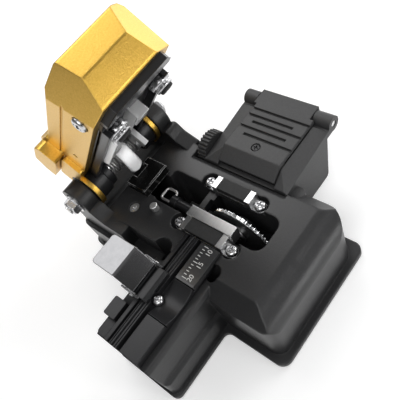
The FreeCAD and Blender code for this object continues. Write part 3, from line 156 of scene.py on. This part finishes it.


# Recesses: where near surfaces close a place in, ambient occlusion lowers the specular level, so the surface
# mirrors less there: painted shade in the hollows.
def makeRecessGroup():
    group, start, end = newGroup("recessShade", [
        ("Distance", "NodeSocketFloat", 0.02), ("Open", "NodeSocketFloat", 0.5),
        ("Recessed", "NodeSocketFloat", 0.1)], [("Specular", "NodeSocketFloat")])
    shade = addNode(group, "ShaderNodeAmbientOcclusion", samples=8)
    group.links.new(start.outputs["Distance"], shade.inputs["Distance"])
    ramp = addNode(group, "ShaderNodeMapRange", interpolation_type="SMOOTHSTEP")
    setInputs(ramp, From_Min=0.35, From_Max=0.85)
    group.links.new(shade.outputs["AO"], ramp.inputs["Value"])
    group.links.new(start.outputs["Recessed"], ramp.inputs["To Min"])
    group.links.new(start.outputs["Open"], ramp.inputs["To Max"])
    group.links.new(ramp.outputs["Result"], end.inputs["Specular"])
    return group


grainGroup = makeGrainGroup()
recessGroup = makeRecessGroup()
edgeGroup = makeEdgeGroup()
handlingGroup = makeHandlingGroup()
print("shader groups ready")

# Each finish: base, fleck and edge colours; metallic; roughness low and high; grain scale, stretch, contrast
# and depth;
# width of the rounded edge; wear and painted highlight on it; clear coat. The edge colour is wear, and on
# gloss black a painted highlight. A finish less metallic than metalLimit mirrors less in recesses, a painted
# shade.
recess = dict(distance=0.025, open=0.5, closed=0.05, metalLimit=0.5)
finishes = {
    "goldAnodised": dict(
        base=(0.6, 0.355, 0.055), fleck=(0.78, 0.5, 0.11), edge=(0.95, 0.72, 0.28),
        metallic=1.0, low=0.3, high=0.4, scale=2600, stretch=(1, 1, 1), contrast=1.6,
        depth=0.00004, bevel=0.00035, wearAndHighlight=0.5, coat=0.0),
    "blackCasting": dict(
        base=(0.02, 0.02, 0.021), fleck=(0.03, 0.03, 0.031), edge=(0.05, 0.05, 0.05),
        metallic=0.0, low=0.3, high=0.42, scale=1500, stretch=(1, 1, 1), contrast=1.2,
        depth=0.00003, bevel=0.0008, wearAndHighlight=0.35, coat=0.0),
    "blackAnodised": dict(
        base=(0.015, 0.015, 0.016), fleck=(0.024, 0.024, 0.026), edge=(0.16, 0.16, 0.17),
        metallic=0.3, low=0.24, high=0.36, scale=2200, stretch=(1, 1, 1), contrast=1.2,
        depth=0.00001, bevel=0.00025, wearAndHighlight=0.5, coat=0.0),
    "darkPlastic": dict(
        base=(0.042, 0.042, 0.043), fleck=(0.06, 0.06, 0.061), edge=(0.06, 0.06, 0.06),
        metallic=0.0, low=0.45, high=0.6, scale=1800, stretch=(1, 1, 1), contrast=1.4,
        depth=0.00003, bevel=0.0004, wearAndHighlight=0.4, coat=0.0),
    "groundSteel": dict(
        base=(0.7, 0.7, 0.7), fleck=(0.84, 0.84, 0.84), edge=(0.8, 0.8, 0.8),
        metallic=1.0, low=0.22, high=0.38, scale=900, stretch=(0.15, 3, 3), contrast=1.5,
        depth=0.00002, bevel=0.0002, wearAndHighlight=0.5, coat=0.0),
    "brightChrome": dict(
        base=(0.66, 0.67, 0.68), fleck=(0.72, 0.72, 0.73), edge=(0.85, 0.85, 0.86),
        metallic=1.0, low=0.06, high=0.16, scale=500, stretch=(1, 1, 1), contrast=0.8,
        depth=0.000003, bevel=0.0003, wearAndHighlight=0.2, coat=0.0),
    "darkChrome": dict(
        base=(0.17, 0.17, 0.175), fleck=(0.24, 0.24, 0.245), edge=(0.85, 0.85, 0.86),
        metallic=1.0, low=0.1, high=0.2, scale=500, stretch=(1, 1, 1), contrast=0.8,
        depth=0.000003, bevel=0.0003, wearAndHighlight=0.9, coat=0.0),
    # Gloss black: its pale, heavily applied edge colour is a painted highlight along the chamfers.
    "glossBlack": dict(
        base=(0.004, 0.004, 0.004), fleck=(0.007, 0.007, 0.007), edge=(0.7, 0.7, 0.7),
        metallic=0.0, low=0.08, high=0.16, scale=1500, stretch=(1, 1, 1), contrast=1.0,
        depth=0.000005, bevel=0.0003, wearAndHighlight=4.0, coat=0.0),
    "satinSteel": dict(
        base=(0.78, 0.78, 0.78), fleck=(0.88, 0.88, 0.88), edge=(0.9, 0.9, 0.9),
        metallic=1.0, low=0.42, high=0.55, scale=1500, stretch=(1, 1, 1), contrast=0.8,
        depth=0.000005, bevel=0.00015, wearAndHighlight=0.2, coat=0.0),
    "screwSteel": dict(
        base=(0.55, 0.55, 0.56), fleck=(0.7, 0.7, 0.71), edge=(0.8, 0.8, 0.8),
        metallic=1.0, low=0.2, high=0.34, scale=2000, stretch=(1, 1, 1), contrast=1.2,
        depth=0.00001, bevel=0.0002, wearAndHighlight=0.4, coat=0.0),
    "blackRubber": dict(
        base=(0.012, 0.012, 0.012), fleck=(0.03, 0.03, 0.03), edge=(0.05, 0.05, 0.05),
        metallic=0.0, low=0.6, high=0.8, scale=1600, stretch=(1, 1, 1), contrast=1.2,
        depth=0.00004, bevel=0.0002, wearAndHighlight=0.3, coat=0.0),
    "scaleBlack": dict(
        base=(0.03, 0.03, 0.031), fleck=(0.045, 0.045, 0.046), edge=(0.2, 0.2, 0.2),
        metallic=0.0, low=0.18, high=0.3, scale=1200, stretch=(1, 1, 1), contrast=1.0,
        depth=0.00001, bevel=0.0002, wearAndHighlight=0.2, coat=0.2),
    "markWhite": dict(
        base=(0.62, 0.62, 0.6), fleck=(0.72, 0.72, 0.7), edge=(0.72, 0.72, 0.7),
        metallic=0.0, low=0.5, high=0.6, scale=1200, stretch=(1, 1, 1), contrast=1.0,
        depth=0.00001, bevel=0.0001, wearAndHighlight=0.0, coat=0.0),
    "springWire": dict(
        base=(0.7, 0.69, 0.68), fleck=(0.82, 0.81, 0.8), edge=(0.6, 0.6, 0.6),
        metallic=1.0, low=0.35, high=0.5, scale=1500, stretch=(1, 1, 1), contrast=1.2,
        depth=0.00001, bevel=0.0001, wearAndHighlight=0.2, coat=0.0),
}


def makeFinish(name, f):
    material = bpy.data.materials.new(name)
    material.use_nodes = True
    tree = material.node_tree
    shader = tree.nodes["Principled BSDF"]
    shader.inputs["Metallic"].default_value = f["metallic"]
    shader.inputs["Coat Weight"].default_value = f["coat"]
    grain = addNode(tree, "ShaderNodeGroup", node_tree=grainGroup)
    setInputs(grain, Scale=f["scale"], Stretch=f["stretch"], Contrast=f["contrast"], Base=(*f["base"], 1),
              Fleck=(*f["fleck"], 1))
    edges = addNode(tree, "ShaderNodeGroup", node_tree=edgeGroup)
    setInputs(edges, Width=f["bevel"], Amount=f["wearAndHighlight"])
    haze = addNode(tree, "ShaderNodeGroup", node_tree=handlingGroup)
    setInputs(haze, Low=f["low"], High=f["high"])
    # Edge colour laid over the grain: wear, and a painted highlight on gloss black.
    wornAndHighlit = addNode(tree, "ShaderNodeMix", data_type="RGBA")
    tree.links.new(edges.outputs["Mask"], wornAndHighlit.inputs["Factor"])
    tree.links.new(grain.outputs["Colour"], wornAndHighlit.inputs[mixFirst])
    wornAndHighlit.inputs[mixSecond].default_value = (*f["edge"], 1)
    tree.links.new(wornAndHighlit.outputs[mixResult], shader.inputs["Base Color"])
    tree.links.new(haze.outputs["Roughness"], shader.inputs["Roughness"])
    # Finishes less metallic than metalLimit get painted shade: their recesses mirror less, by ambient
    # occlusion.
    if f["metallic"] < recess["metalLimit"]:
        shade = addNode(tree, "ShaderNodeGroup", node_tree=recessGroup)
        setInputs(shade, Distance=recess["distance"], Open=recess["open"], Recessed=recess["closed"])
        tree.links.new(shade.outputs["Specular"], shader.inputs["Specular IOR Level"])
    bump = addNode(tree, "ShaderNodeBump")
    bump.inputs["Strength"].default_value = 1.0
    bump.inputs["Distance"].default_value = f["depth"]
    tree.links.new(grain.outputs["Height"], bump.inputs["Height"])
    tree.links.new(edges.outputs["Normal"], bump.inputs["Normal"])
    tree.links.new(bump.outputs["Normal"], shader.inputs["Normal"])
    return material


finish = {name: makeFinish(name, settings) for name, settings in finishes.items()}
slotFinish = {"gold_anodised": "goldAnodised", "black_casting": "blackCasting",
              "black_anodised": "blackAnodised", "dark_plastic": "darkPlastic",
              "ground_steel": "groundSteel", "bright_chrome": "brightChrome",
              "screw_steel": "screwSteel", "black_rubber": "blackRubber",
              "scale_black": "scaleBlack", "wire_steel": "springWire"}
satinNodes = ("trip_bar", "anvil", "guide_plate", "set_screw", "locating_pin")
nodeFinish = {"lid_screw": "blackAnodised", "hinge_block": "glossBlack", "clamp_flap": "darkChrome",
              **{name: "satinSteel" for name in satinNodes}}
nodeSlot = {part["node"]: part["material_slot"] for part in frame["record"]["subparts"]}
for name, obj in nodes.items():
    obj.data.materials.clear()
    obj.data.materials.append(finish[nodeFinish.get(name, slotFinish[nodeSlot[name]])])
print("finishes on all nodes")


# Surfaces drawn by formula, in millimetres about the crossing of fibre and blade: shift moves them into the
# frame, pivot is the lever's hinge and restTurn the turn in degrees that raises the lever.
shift = np.array([2.95, -9.83, 0.0])
pivot = np.array([0.0, 39.5, 28.0])
restTurn = -48.0


def addPiece(name, vertices, faces, finishName, body, replaced=(), smooth=True):
    mesh = bpy.data.meshes.new(name)
    corners = faces if isinstance(faces, list) else faces.tolist()
    mesh.from_pydata(((vertices + shift) * mm).tolist(), [], corners)
    mesh.polygons.foreach_set("use_smooth", np.full(len(faces), smooth))
    mesh.materials.append(finish[finishName])
    obj = bpy.data.objects.new(name, mesh)
    bpy.context.scene.collection.objects.link(obj)
    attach(obj, body)
    if replaced:
        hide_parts(*replaced)
    return obj


# Faces of a grid: point (i, j) joins (i + 1, j), (i + 1, j + 1) and (i, j + 1); a wrapped grid closes up.
def gridFaces(rows, columns, wrapRows=False, wrapColumns=False):
    i, j = np.meshgrid(np.arange(rows - (not wrapRows)), np.arange(columns - (not wrapColumns)),
                       indexing="ij")
    down, right = (i + 1) % rows, (j + 1) % columns
    corners = [i * columns + j, down * columns + j, down * columns + right, i * columns + right]
    return np.stack(corners, axis=-1).reshape(-1, 4)


# Wire: the point at s round the path is P(s) + r (N(s) cos a + B(s) sin a), where T is the direction of P,
# N is across T and the given axis, and B closes the frame.
def wireSurface(path, radius, axis, sides=14):
    along = np.gradient(path, axis=0)
    along /= np.linalg.norm(along, axis=1, keepdims=True)
    normal = np.cross(along, np.array(axis, float))
    normal /= np.linalg.norm(normal, axis=1, keepdims=True)
    other = np.cross(along, normal)
    angle = np.linspace(0, 2 * np.pi, sides, endpoint=False)
    ring = normal[:, None] * np.cos(angle)[None, :, None] + other[:, None] * np.sin(angle)[None, :, None]
    tipShare = 0.02
    shrink = np.ones(len(path))
    shrink[[0, -1]] = tipShare
    skin = path[:, None] + ring * (radius * shrink)[:, None, None]
    return skin.reshape(-1, 3), gridFaces(len(path), sides, False, True)


# One surface from several: the faces of each count on from the points of those before it.
def joinSurfaces(parts):
    offsets = np.cumsum([0] + [len(v) for v, f in parts[:-1]])
    faces = np.concatenate([f + o for (v, f), o in zip(parts, offsets)])
    return np.concatenate([v for v, f in parts]), faces


# Points of the level lever, u forward of the pivot and v above it, turned about the pivot by the rest turn.
def leverPoints(x, u, v):
    x, u, v = np.broadcast_arrays(x, u, v)
    turn = math.radians(restTurn)
    y = pivot[1] - u * math.cos(turn) - v * math.sin(turn)
    z = pivot[2] - u * math.sin(turn) + v * math.cos(turn)
    return np.stack([x, y, z], axis=-1).astype(float)


# Prism: rings of one outline at rising heights; the first and last are drawn in by the soft edge, and each
# cap is a fan from the middle of its ring. place(a, b, h) turns outline and height into space.
def prismSurface(outline, low, high, soft, place):
    outline = np.array(outline, float)
    before, after = outline - np.roll(outline, 1, axis=0), np.roll(outline, -1, axis=0) - outline
    before /= np.linalg.norm(before, axis=1, keepdims=True)
    after /= np.linalg.norm(after, axis=1, keepdims=True)
    inward = np.stack([-before[:, 1] - after[:, 1], before[:, 0] + after[:, 0]], axis=1)
    inward /= (1 + np.sum(before * after, axis=1))[:, None]
    drawn = outline + inward * soft
    rings = [(drawn, low), (outline, low + soft), (outline, high - soft), (drawn, high)]
    count = len(outline)
    points = [place(r[:, 0], r[:, 1], np.full(count, h)) for r, h in rings]
    middle = outline.mean(axis=0)
    points += [place(middle[:1], middle[1:], np.array([h])) for h in (low, high)]
    side = gridFaces(4, count, False, True)
    i = np.arange(count)
    following = (i + 1) % count
    bottom = np.stack([np.full(count, 4 * count), following, i], axis=1)
    top = np.stack([np.full(count, 4 * count + 1), 3 * count + i, 3 * count + following], axis=1)
    return np.concatenate(points), side[:, ::-1], np.concatenate([bottom, top])


def joinPrisms(prisms):
    quads, fans, points, base = [], [], [], 0
    for vertices, side, caps in prisms:
        points.append(vertices)
        quads.append(side + base)
        fans.append(caps + base)
        base += len(vertices)
    return np.concatenate(points), np.concatenate(quads).tolist() + np.concatenate(fans).tolist()


# Turned piece: a profile of distance along the axis and radius, swept once round: (t, r cos a, r sin a).
def turnedSurface(profile, place, sides=64):
    profile = np.array(profile, float)
    angle = np.linspace(0, 2 * np.pi, sides, endpoint=False)
    t = np.broadcast_to(profile[:, :1], (len(profile), sides))
    a, b = profile[:, 1:] * np.cos(angle), profile[:, 1:] * np.sin(angle)
    return place(t, a, b).reshape(-1, 3), gridFaces(len(profile), sides, False, True)


# Torsion springs: a helix of radius R and pitch p round the shaft, (x0 + p a / 2 pi, R cos a, R sin a),
# with a straight leg along the tangent at each end.
springs = dict(coil=3.25, wire=0.36, leg=2.2, steps=48, legStart=0.08, legSteps=8,
               left=dict(start=-6.1, turns=3, pitch=0.95, first=200.0),
               right=dict(start=2.6, turns=3, pitch=0.9, first=200.0))


def springPath(p, s):
    angle = np.radians(s["first"]) + np.linspace(0, 2 * np.pi * s["turns"], p["steps"] * s["turns"] + 1)
    turn = angle - angle[0]
    coil = np.stack([s["start"] + s["pitch"] * turn / (2 * np.pi), pivot[1] + p["coil"] * np.cos(angle),
                     pivot[2] + p["coil"] * np.sin(angle)], axis=-1)
    steps = np.linspace(1, p["legStart"], p["legSteps"])[:, None] * p["leg"]
    first = np.array([0, math.sin(angle[0]), -math.cos(angle[0])])
    last = np.array([0, -math.sin(angle[-1]), math.cos(angle[-1])])
    return np.concatenate([coil[0] + first * steps, coil, coil[-1] + last * steps[::-1]])


acrossLever = (1, 0, 0)
wires = [wireSurface(springPath(springs, springs[side]), springs["wire"], acrossLever)
         for side in ("left", "right")]
vertices, faces = joinSurfaces(wires)
addPiece("coiledSprings", vertices, faces, "springWire", "body", ("torsion_springs",))
print("torsion springs")

# Knuckle bushes: turned about the hinge, with a step down to a sleeve at the inner end of the left one.
bushes = dict(left=[(-15.2, 2.6), (-15.2, 5.5), (-14.9, 5.8), (-9.3, 5.8), (-9.0, 5.5), (-9.0, 5.2),
                    (-6.9, 5.2), (-6.6, 4.9), (-6.6, 2.6)],
              right=[(7.3, 2.6), (7.3, 5.5), (7.6, 5.8), (13.1, 5.8), (13.4, 5.5), (13.4, 2.6)])


def roundShaft(t, a, b):
    return np.stack([t, pivot[1] + a, pivot[2] + b], axis=-1)


vertices, faces = joinSurfaces([turnedSurface(profile, roundShaft) for profile in bushes.values()])
addPiece("turnedBushes", vertices, faces, "blackAnodised", "lever", ("knuckle_bushes",),
         smooth=False)
print("knuckle bushes")

# Pressure plate: slabs for a roof, two cheeks, the bar behind the nose and a short rim at its front edge.
# Each end of a slab's front is a list of corners, given by how far in from that side they are and by u.
plate = dict(left=-11.5, right=9.7, wall=1.4, soft=0.2,
             roof=dict(rear=5.5, leftEnd=[(0, 42)], rightEnd=[(0, 42)], low=2.0, high=3.0),
             cheek=dict(rear=6.2, leftEnd=[(0, 50)], rightEnd=[(0, 50)], low=-0.2, high=2.9),
             bar=dict(rear=39.5, leftEnd=[(0, 54), (1.4, 57.6)], rightEnd=[(2.2, 58.6), (0, 55.8)],
                      low=2.0, high=9.6),
             rim=dict(rear=54.4, leftEnd=[(0, 56), (2.2, 60.3)], rightEnd=[(2.2, 60.3), (0, 56.6)],
                      low=0.9, high=3.2))


def slab(left, right, s, soft):
    outline = [(left, s["rear"]), *[(left + inset, u) for inset, u in s["leftEnd"]],
               *[(right - inset, u) for inset, u in s["rightEnd"]], (right, s["rear"])]
    return prismSurface(outline, s["low"], s["high"], soft, leverPoints)


def pressurePlate(p):
    left, right, wall = p["left"], p["right"], p["wall"]
    spans = [(left, right, "roof"), (left, left + wall, "cheek"), (right - wall, right, "cheek"),
             (left, right, "bar"), (left, right, "rim")]
    return joinPrisms([slab(start, end, p[name], p["soft"]) for start, end, name in spans])


vertices, faces = pressurePlate(plate)
addPiece("pressurePlate", vertices, faces, "blackAnodised", "lever", ("pressure_plate",),
         smooth=False)
print("pressure plate")

# Adjusting bracket: a thin steel cheek with clipped lower corners and the screw block beside it.
bracket = dict(left=-10.35, thick=0.5, soft=0.08, blockLow=-1.6, blockHigh=2.0,
               cheek=[(24.0, 1.6), (24.0, -1.0), (24.9, -1.9), (44.2, -1.9), (45.2, -0.9), (45.2, 1.6)],
               block=[(-9.8, 26), (-9.8, 31), (-5.8, 31), (-5.8, 26)])


def adjustBracket(p):
    cheek = prismSurface(p["cheek"][::-1], p["left"], p["left"] + p["thick"], p["soft"],
                         lambda u, v, h: leverPoints(h, u, v))
    block = prismSurface(p["block"], p["blockLow"], p["blockHigh"], p["soft"], leverPoints)
    return joinPrisms([cheek, block])


vertices, faces = adjustBracket(bracket)
addPiece("adjustBracket", vertices, faces, "satinSteel", "lever", ("adjust_bracket",),
         smooth=False)
print("adjusting bracket")

# Upper clamps: a turned barrel with a rolled lip, on the axis of its stem.
barrel = dict(left=-7.5, right=8.2, u=46.0,
              profile=[(-1.7, 0.0), (-1.7, 1.9), (-1.62, 2.2), (-1.4, 2.45), (-1.15, 2.5), (-1.0, 2.4),
                       (-0.9, 2.1), (-0.6, 2.1), (-0.5, 2.6), (-0.3, 2.85), (0.0, 2.9), (1.3, 2.9),
                       (1.6, 2.7), (1.7, 1.2), (7.2, 1.2), (7.4, 0.0)])


def barrelSurface(p, side):
    return turnedSurface(p["profile"], lambda t, a, b: leverPoints(p[side] + a, p["u"] + b, t))


for side in ("left", "right"):
    vertices, faces = barrelSurface(barrel, side)
    addPiece("clampBarrel" + side.capitalize(), vertices, faces, "screwSteel", side + "_clamp",
             ("plunger_" + side,))
print("upper clamps")

# Reset tongue: a curved strip whose middle line is a cubic Bezier curve in u and v. Half its width is
# w sqrt(1 - e^2), where e grows from 0 to 1 over the last part, so that the end is round.
tongueShape = dict(points=[(6.7, 2.4), (7.3, -1.6), (5.2, -5.0), (3.3, -8.0)], middle=-0.35, half=2.4,
                   thick=1.0, round=0.14, rows=61, sides=48, squareness=0.35, least=0.0004,
                   sleeve=[(-2.6, 2.6), (-2.6, 3.7), (-2.4, 3.9), (1.7, 3.9), (1.9, 3.7), (1.9, 2.6)])


# A wave with flattened crests: its size to a power, with its sign kept.
def squared(wave, power):
    return np.sign(wave) * np.abs(wave) ** power


def resetTongue(p):
    t = np.linspace(0, 1, p["rows"])[:, None]
    c = np.array(p["points"])
    line = (1 - t) ** 3 * c[0] + 3 * (1 - t) ** 2 * t * c[1] + 3 * (1 - t) * t ** 2 * c[2] + t ** 3 * c[3]
    along = np.gradient(line, axis=0)
    along /= np.linalg.norm(along, axis=1, keepdims=True)
    across = np.stack([-along[:, 1], along[:, 0]], axis=1)
    e = np.clip((t[:, 0] - 1 + p["round"]) / p["round"], 0, 1)
    half = p["half"] * np.sqrt(np.clip(1 - e ** 2, p["least"], 1))
    turn = np.linspace(0, 2 * np.pi, p["sides"], endpoint=False)
    x = p["middle"] + half[:, None] * squared(np.cos(turn), p["squareness"])
    off = 0.5 * p["thick"] * squared(np.sin(turn), p["squareness"])
    uv = line[:, None] + across[:, None] * off[None, :, None]
    skin = leverPoints(x, uv[..., 0], uv[..., 1]).reshape(-1, 3)
    strip = skin, gridFaces(p["rows"], p["sides"], False, True)
    return joinSurfaces([strip, turnedSurface(p["sleeve"], roundShaft)])


vertices, faces = resetTongue(tongueShape)
addPiece("curvedTongue", vertices, faces, "satinSteel", "lever", ("reset_tongue",))
print("reset tongue")

# Bent wire: at the share s of the way in from the far end, the height is
# low + (high - low) (0.5 + 0.5 cos(pi w s)), where w is the part of the wave that is used.
bentPath = dict(x=-8.2, near=16.0, far=26.0, high=0.9, low=-0.9, radius=0.4, wave=1.4, steps=40)


def bentWire(p):
    u = np.linspace(p["far"], p["near"], p["steps"])
    share = (u - p["near"]) / (p["far"] - p["near"])
    v = p["low"] + (p["high"] - p["low"]) * (0.5 + 0.5 * np.cos(np.pi * (1 - share) * p["wave"]))
    return wireSurface(leverPoints(p["x"], u, v), p["radius"], acrossLever)


vertices, faces = bentWire(bentPath)
addPiece("bentWire", vertices, faces, "springWire", "lever", ("bent_wire",))
print("bent wire")

# Scale: raised marks at whole millimetres from the blade, longer at fives, and a number at each five.
scaleMarks = dict(first=-20, last=-10, start=-21.3, pitch=1.02, longEvery=5, rear=-4.1, short=0.9, long=1.5,
                  width=0.2, top=23.1, rise=0.02, digitSize=2.1, digitFront=-7.3,
                  digits={"20": -20.6, "15": -16.4, "10": -12.2})


def scaleTicks(m):
    mark = np.arange(m["first"], m["last"] + 1, dtype=float)
    x = m["start"] + (mark - m["first"]) * m["pitch"]
    length = np.where(mark % m["longEvery"] == 0, m["long"], m["short"])
    cornerX = np.array([-0.5, 0.5, 0.5, -0.5]) * m["width"]
    cornerY = np.array([1.0, 1.0, 0.0, 0.0])
    points = np.stack([x[:, None] + cornerX, m["rear"] - length[:, None] * cornerY,
                       np.full((len(x), 4), m["top"] + m["rise"])], axis=-1)
    return points.reshape(-1, 3), np.arange(len(x) * 4).reshape(-1, 4)


def numberSurface(text, x, y, z, size):
    curve = bpy.data.curves.new("number", "FONT")
    curve.body = text
    curve.size = size
    curve.align_x = "CENTER"
    holder = bpy.data.objects.new("number", curve)
    bpy.context.scene.collection.objects.link(holder)
    bpy.context.view_layer.update()
    flat = bpy.data.meshes.new_from_object(holder.evaluated_get(bpy.context.evaluated_depsgraph_get()))
    bpy.data.objects.remove(holder)
    points = np.zeros(len(flat.vertices) * 3)
    flat.vertices.foreach_get("co", points)
    flat.calc_loop_triangles()
    triangles = np.zeros(len(flat.loop_triangles) * 3, dtype=np.int32)
    flat.loop_triangles.foreach_get("vertices", triangles)
    bpy.data.meshes.remove(flat)
    return points.reshape(-1, 3) + np.array([x, y, z]), triangles.reshape(-1, 3)


vertices, faces = scaleTicks(scaleMarks)
addPiece("scaleTicks", vertices, faces, "markWhite", "body", smooth=False)
for text, x in scaleMarks["digits"].items():
    vertices, faces = numberSurface(text, x, scaleMarks["digitFront"], scaleMarks["top"] + scaleMarks["rise"],
                                    scaleMarks["digitSize"])
    addPiece("scaleNumber" + text, vertices, faces, "markWhite", "body", smooth=False)
print("scale marks")

# Studio: a pale floor, five softboxes and a sky that brightens overhead.
studio = dict(floorSize=3.0, floorColour=(0.86, 0.86, 0.86), floorRoughness=0.9, floorGlow=0.30,
              skyHigh=0.34, skyLow=0.04, skyStart=0.2, skyEnd=0.9, target=(0, 0, 0.03))
softboxes = {
    "backSoftbox": dict(place=(0.22, 0.49, 0.55), size=(0.50, 0.55), power=2.4),
    "keySoftbox": dict(place=(-0.30, -0.22, 0.55), size=(0.42, 0.42), power=1.5),
    "sideSoftbox": dict(place=(0.50, -0.12, 0.34), size=(0.25, 0.35), power=1.0),
    "lowSoftbox": dict(place=(0.55, 0.05, 0.12), size=(0.40, 0.24), power=0.8),
    "frontSoftbox": dict(place=(0.17, -0.52, 0.16), size=(0.10, 0.30), power=0.75),
}


def addFloor():
    half = studio["floorSize"] / 2
    mesh = bpy.data.meshes.new("floor")
    corners = [(-half, -half, 0), (half, -half, 0), (half, half, 0), (-half, half, 0)]
    mesh.from_pydata(corners, [], [(0, 1, 2, 3)])
    floor = bpy.data.objects.new("floor", mesh)
    bpy.context.scene.collection.objects.link(floor)
    material = bpy.data.materials.new("paleFloor")
    material.use_nodes = True
    shader = material.node_tree.nodes["Principled BSDF"]
    shader.inputs["Base Color"].default_value = (*studio["floorColour"], 1)
    shader.inputs["Roughness"].default_value = studio["floorRoughness"]
    shader.inputs["Emission Color"].default_value = (1, 1, 1, 1)
    tree = material.node_tree
    path = addNode(tree, "ShaderNodeLightPath")
    seen = mathNode(tree, "MAXIMUM", path.outputs["Is Camera Ray"], path.outputs["Is Glossy Ray"])
    seen = mathNode(tree, "MAXIMUM", seen, path.outputs["Is Transmission Ray"])
    glow = mathNode(tree, "MULTIPLY", seen, studio["floorGlow"])
    tree.links.new(glow, shader.inputs["Emission Strength"])
    mesh.materials.append(material)


def addSoftbox(name, box):
    light = bpy.data.lights.new(name, "AREA")
    light.shape = "RECTANGLE"
    light.size, light.size_y = box["size"]
    light.energy = box["power"]
    obj = bpy.data.objects.new(name, light)
    bpy.context.scene.collection.objects.link(obj)
    way = np.array(box["place"]) - np.array(studio["target"])
    back = way / np.linalg.norm(way)
    side = np.cross((0, 0, 1), back)
    side = side / np.linalg.norm(side)
    up = np.cross(back, side)
    obj.matrix_world = Matrix([[side[i], up[i], back[i], box["place"][i]] for i in range(3)] + [[0, 0, 0, 1]])


# Sky: dark near the horizon and bright overhead, by the height of the direction looked in.
def addSky():
    world = bpy.data.worlds.new("studioWorld")
    world.use_nodes = True
    tree = world.node_tree
    place = addNode(tree, "ShaderNodeTexCoord")
    parts = addNode(tree, "ShaderNodeSeparateXYZ")
    tree.links.new(place.outputs["Generated"], parts.inputs[0])
    ramp = addNode(tree, "ShaderNodeMapRange", interpolation_type="SMOOTHSTEP")
    tree.links.new(parts.outputs["Z"], ramp.inputs["Value"])
    ramp.inputs["From Min"].default_value = studio["skyStart"]
    ramp.inputs["From Max"].default_value = studio["skyEnd"]
    ramp.inputs["To Min"].default_value = studio["skyLow"]
    ramp.inputs["To Max"].default_value = studio["skyHigh"]
    path = addNode(tree, "ShaderNodeLightPath")
    strength = mathNode(tree, "MAXIMUM", ramp.outputs["Result"], path.outputs["Is Camera Ray"])
    tree.nodes["Background"].inputs["Color"].default_value = (1, 1, 1, 1)
    tree.links.new(strength, tree.nodes["Background"].inputs["Strength"])
    bpy.context.scene.world = world


def addStudio():
    addFloor()
    for name, box in softboxes.items():
        addSoftbox(name, box)
    addSky()
    bpy.context.scene.view_settings.view_transform = "Standard"


cameraView = dict(lens=47.28, sensor=36, near=0.005, place=(-0.03912, -0.08889, 0.14147),
                  right=(0.5932, -0.7377, -0.3223), up=(0.7555, 0.3718, 0.5394),
                  back=(-0.2781, -0.5635, 0.7779))


def addCamera(c):
    camera = bpy.data.cameras.new("camera")
    camera.sensor_width = c["sensor"]
    camera.lens = c["lens"]
    camera.clip_start = c["near"]
    obj = bpy.data.objects.new("camera", camera)
    bpy.context.scene.collection.objects.link(obj)
    obj.matrix_world = Matrix([[c["right"][i], c["up"][i], c["back"][i], c["place"][i]] for i in range(3)]
                              + [[0, 0, 0, 1]])
    bpy.context.scene.camera = obj


addStudio()
addCamera(cameraView)
print("studio and camera ready")
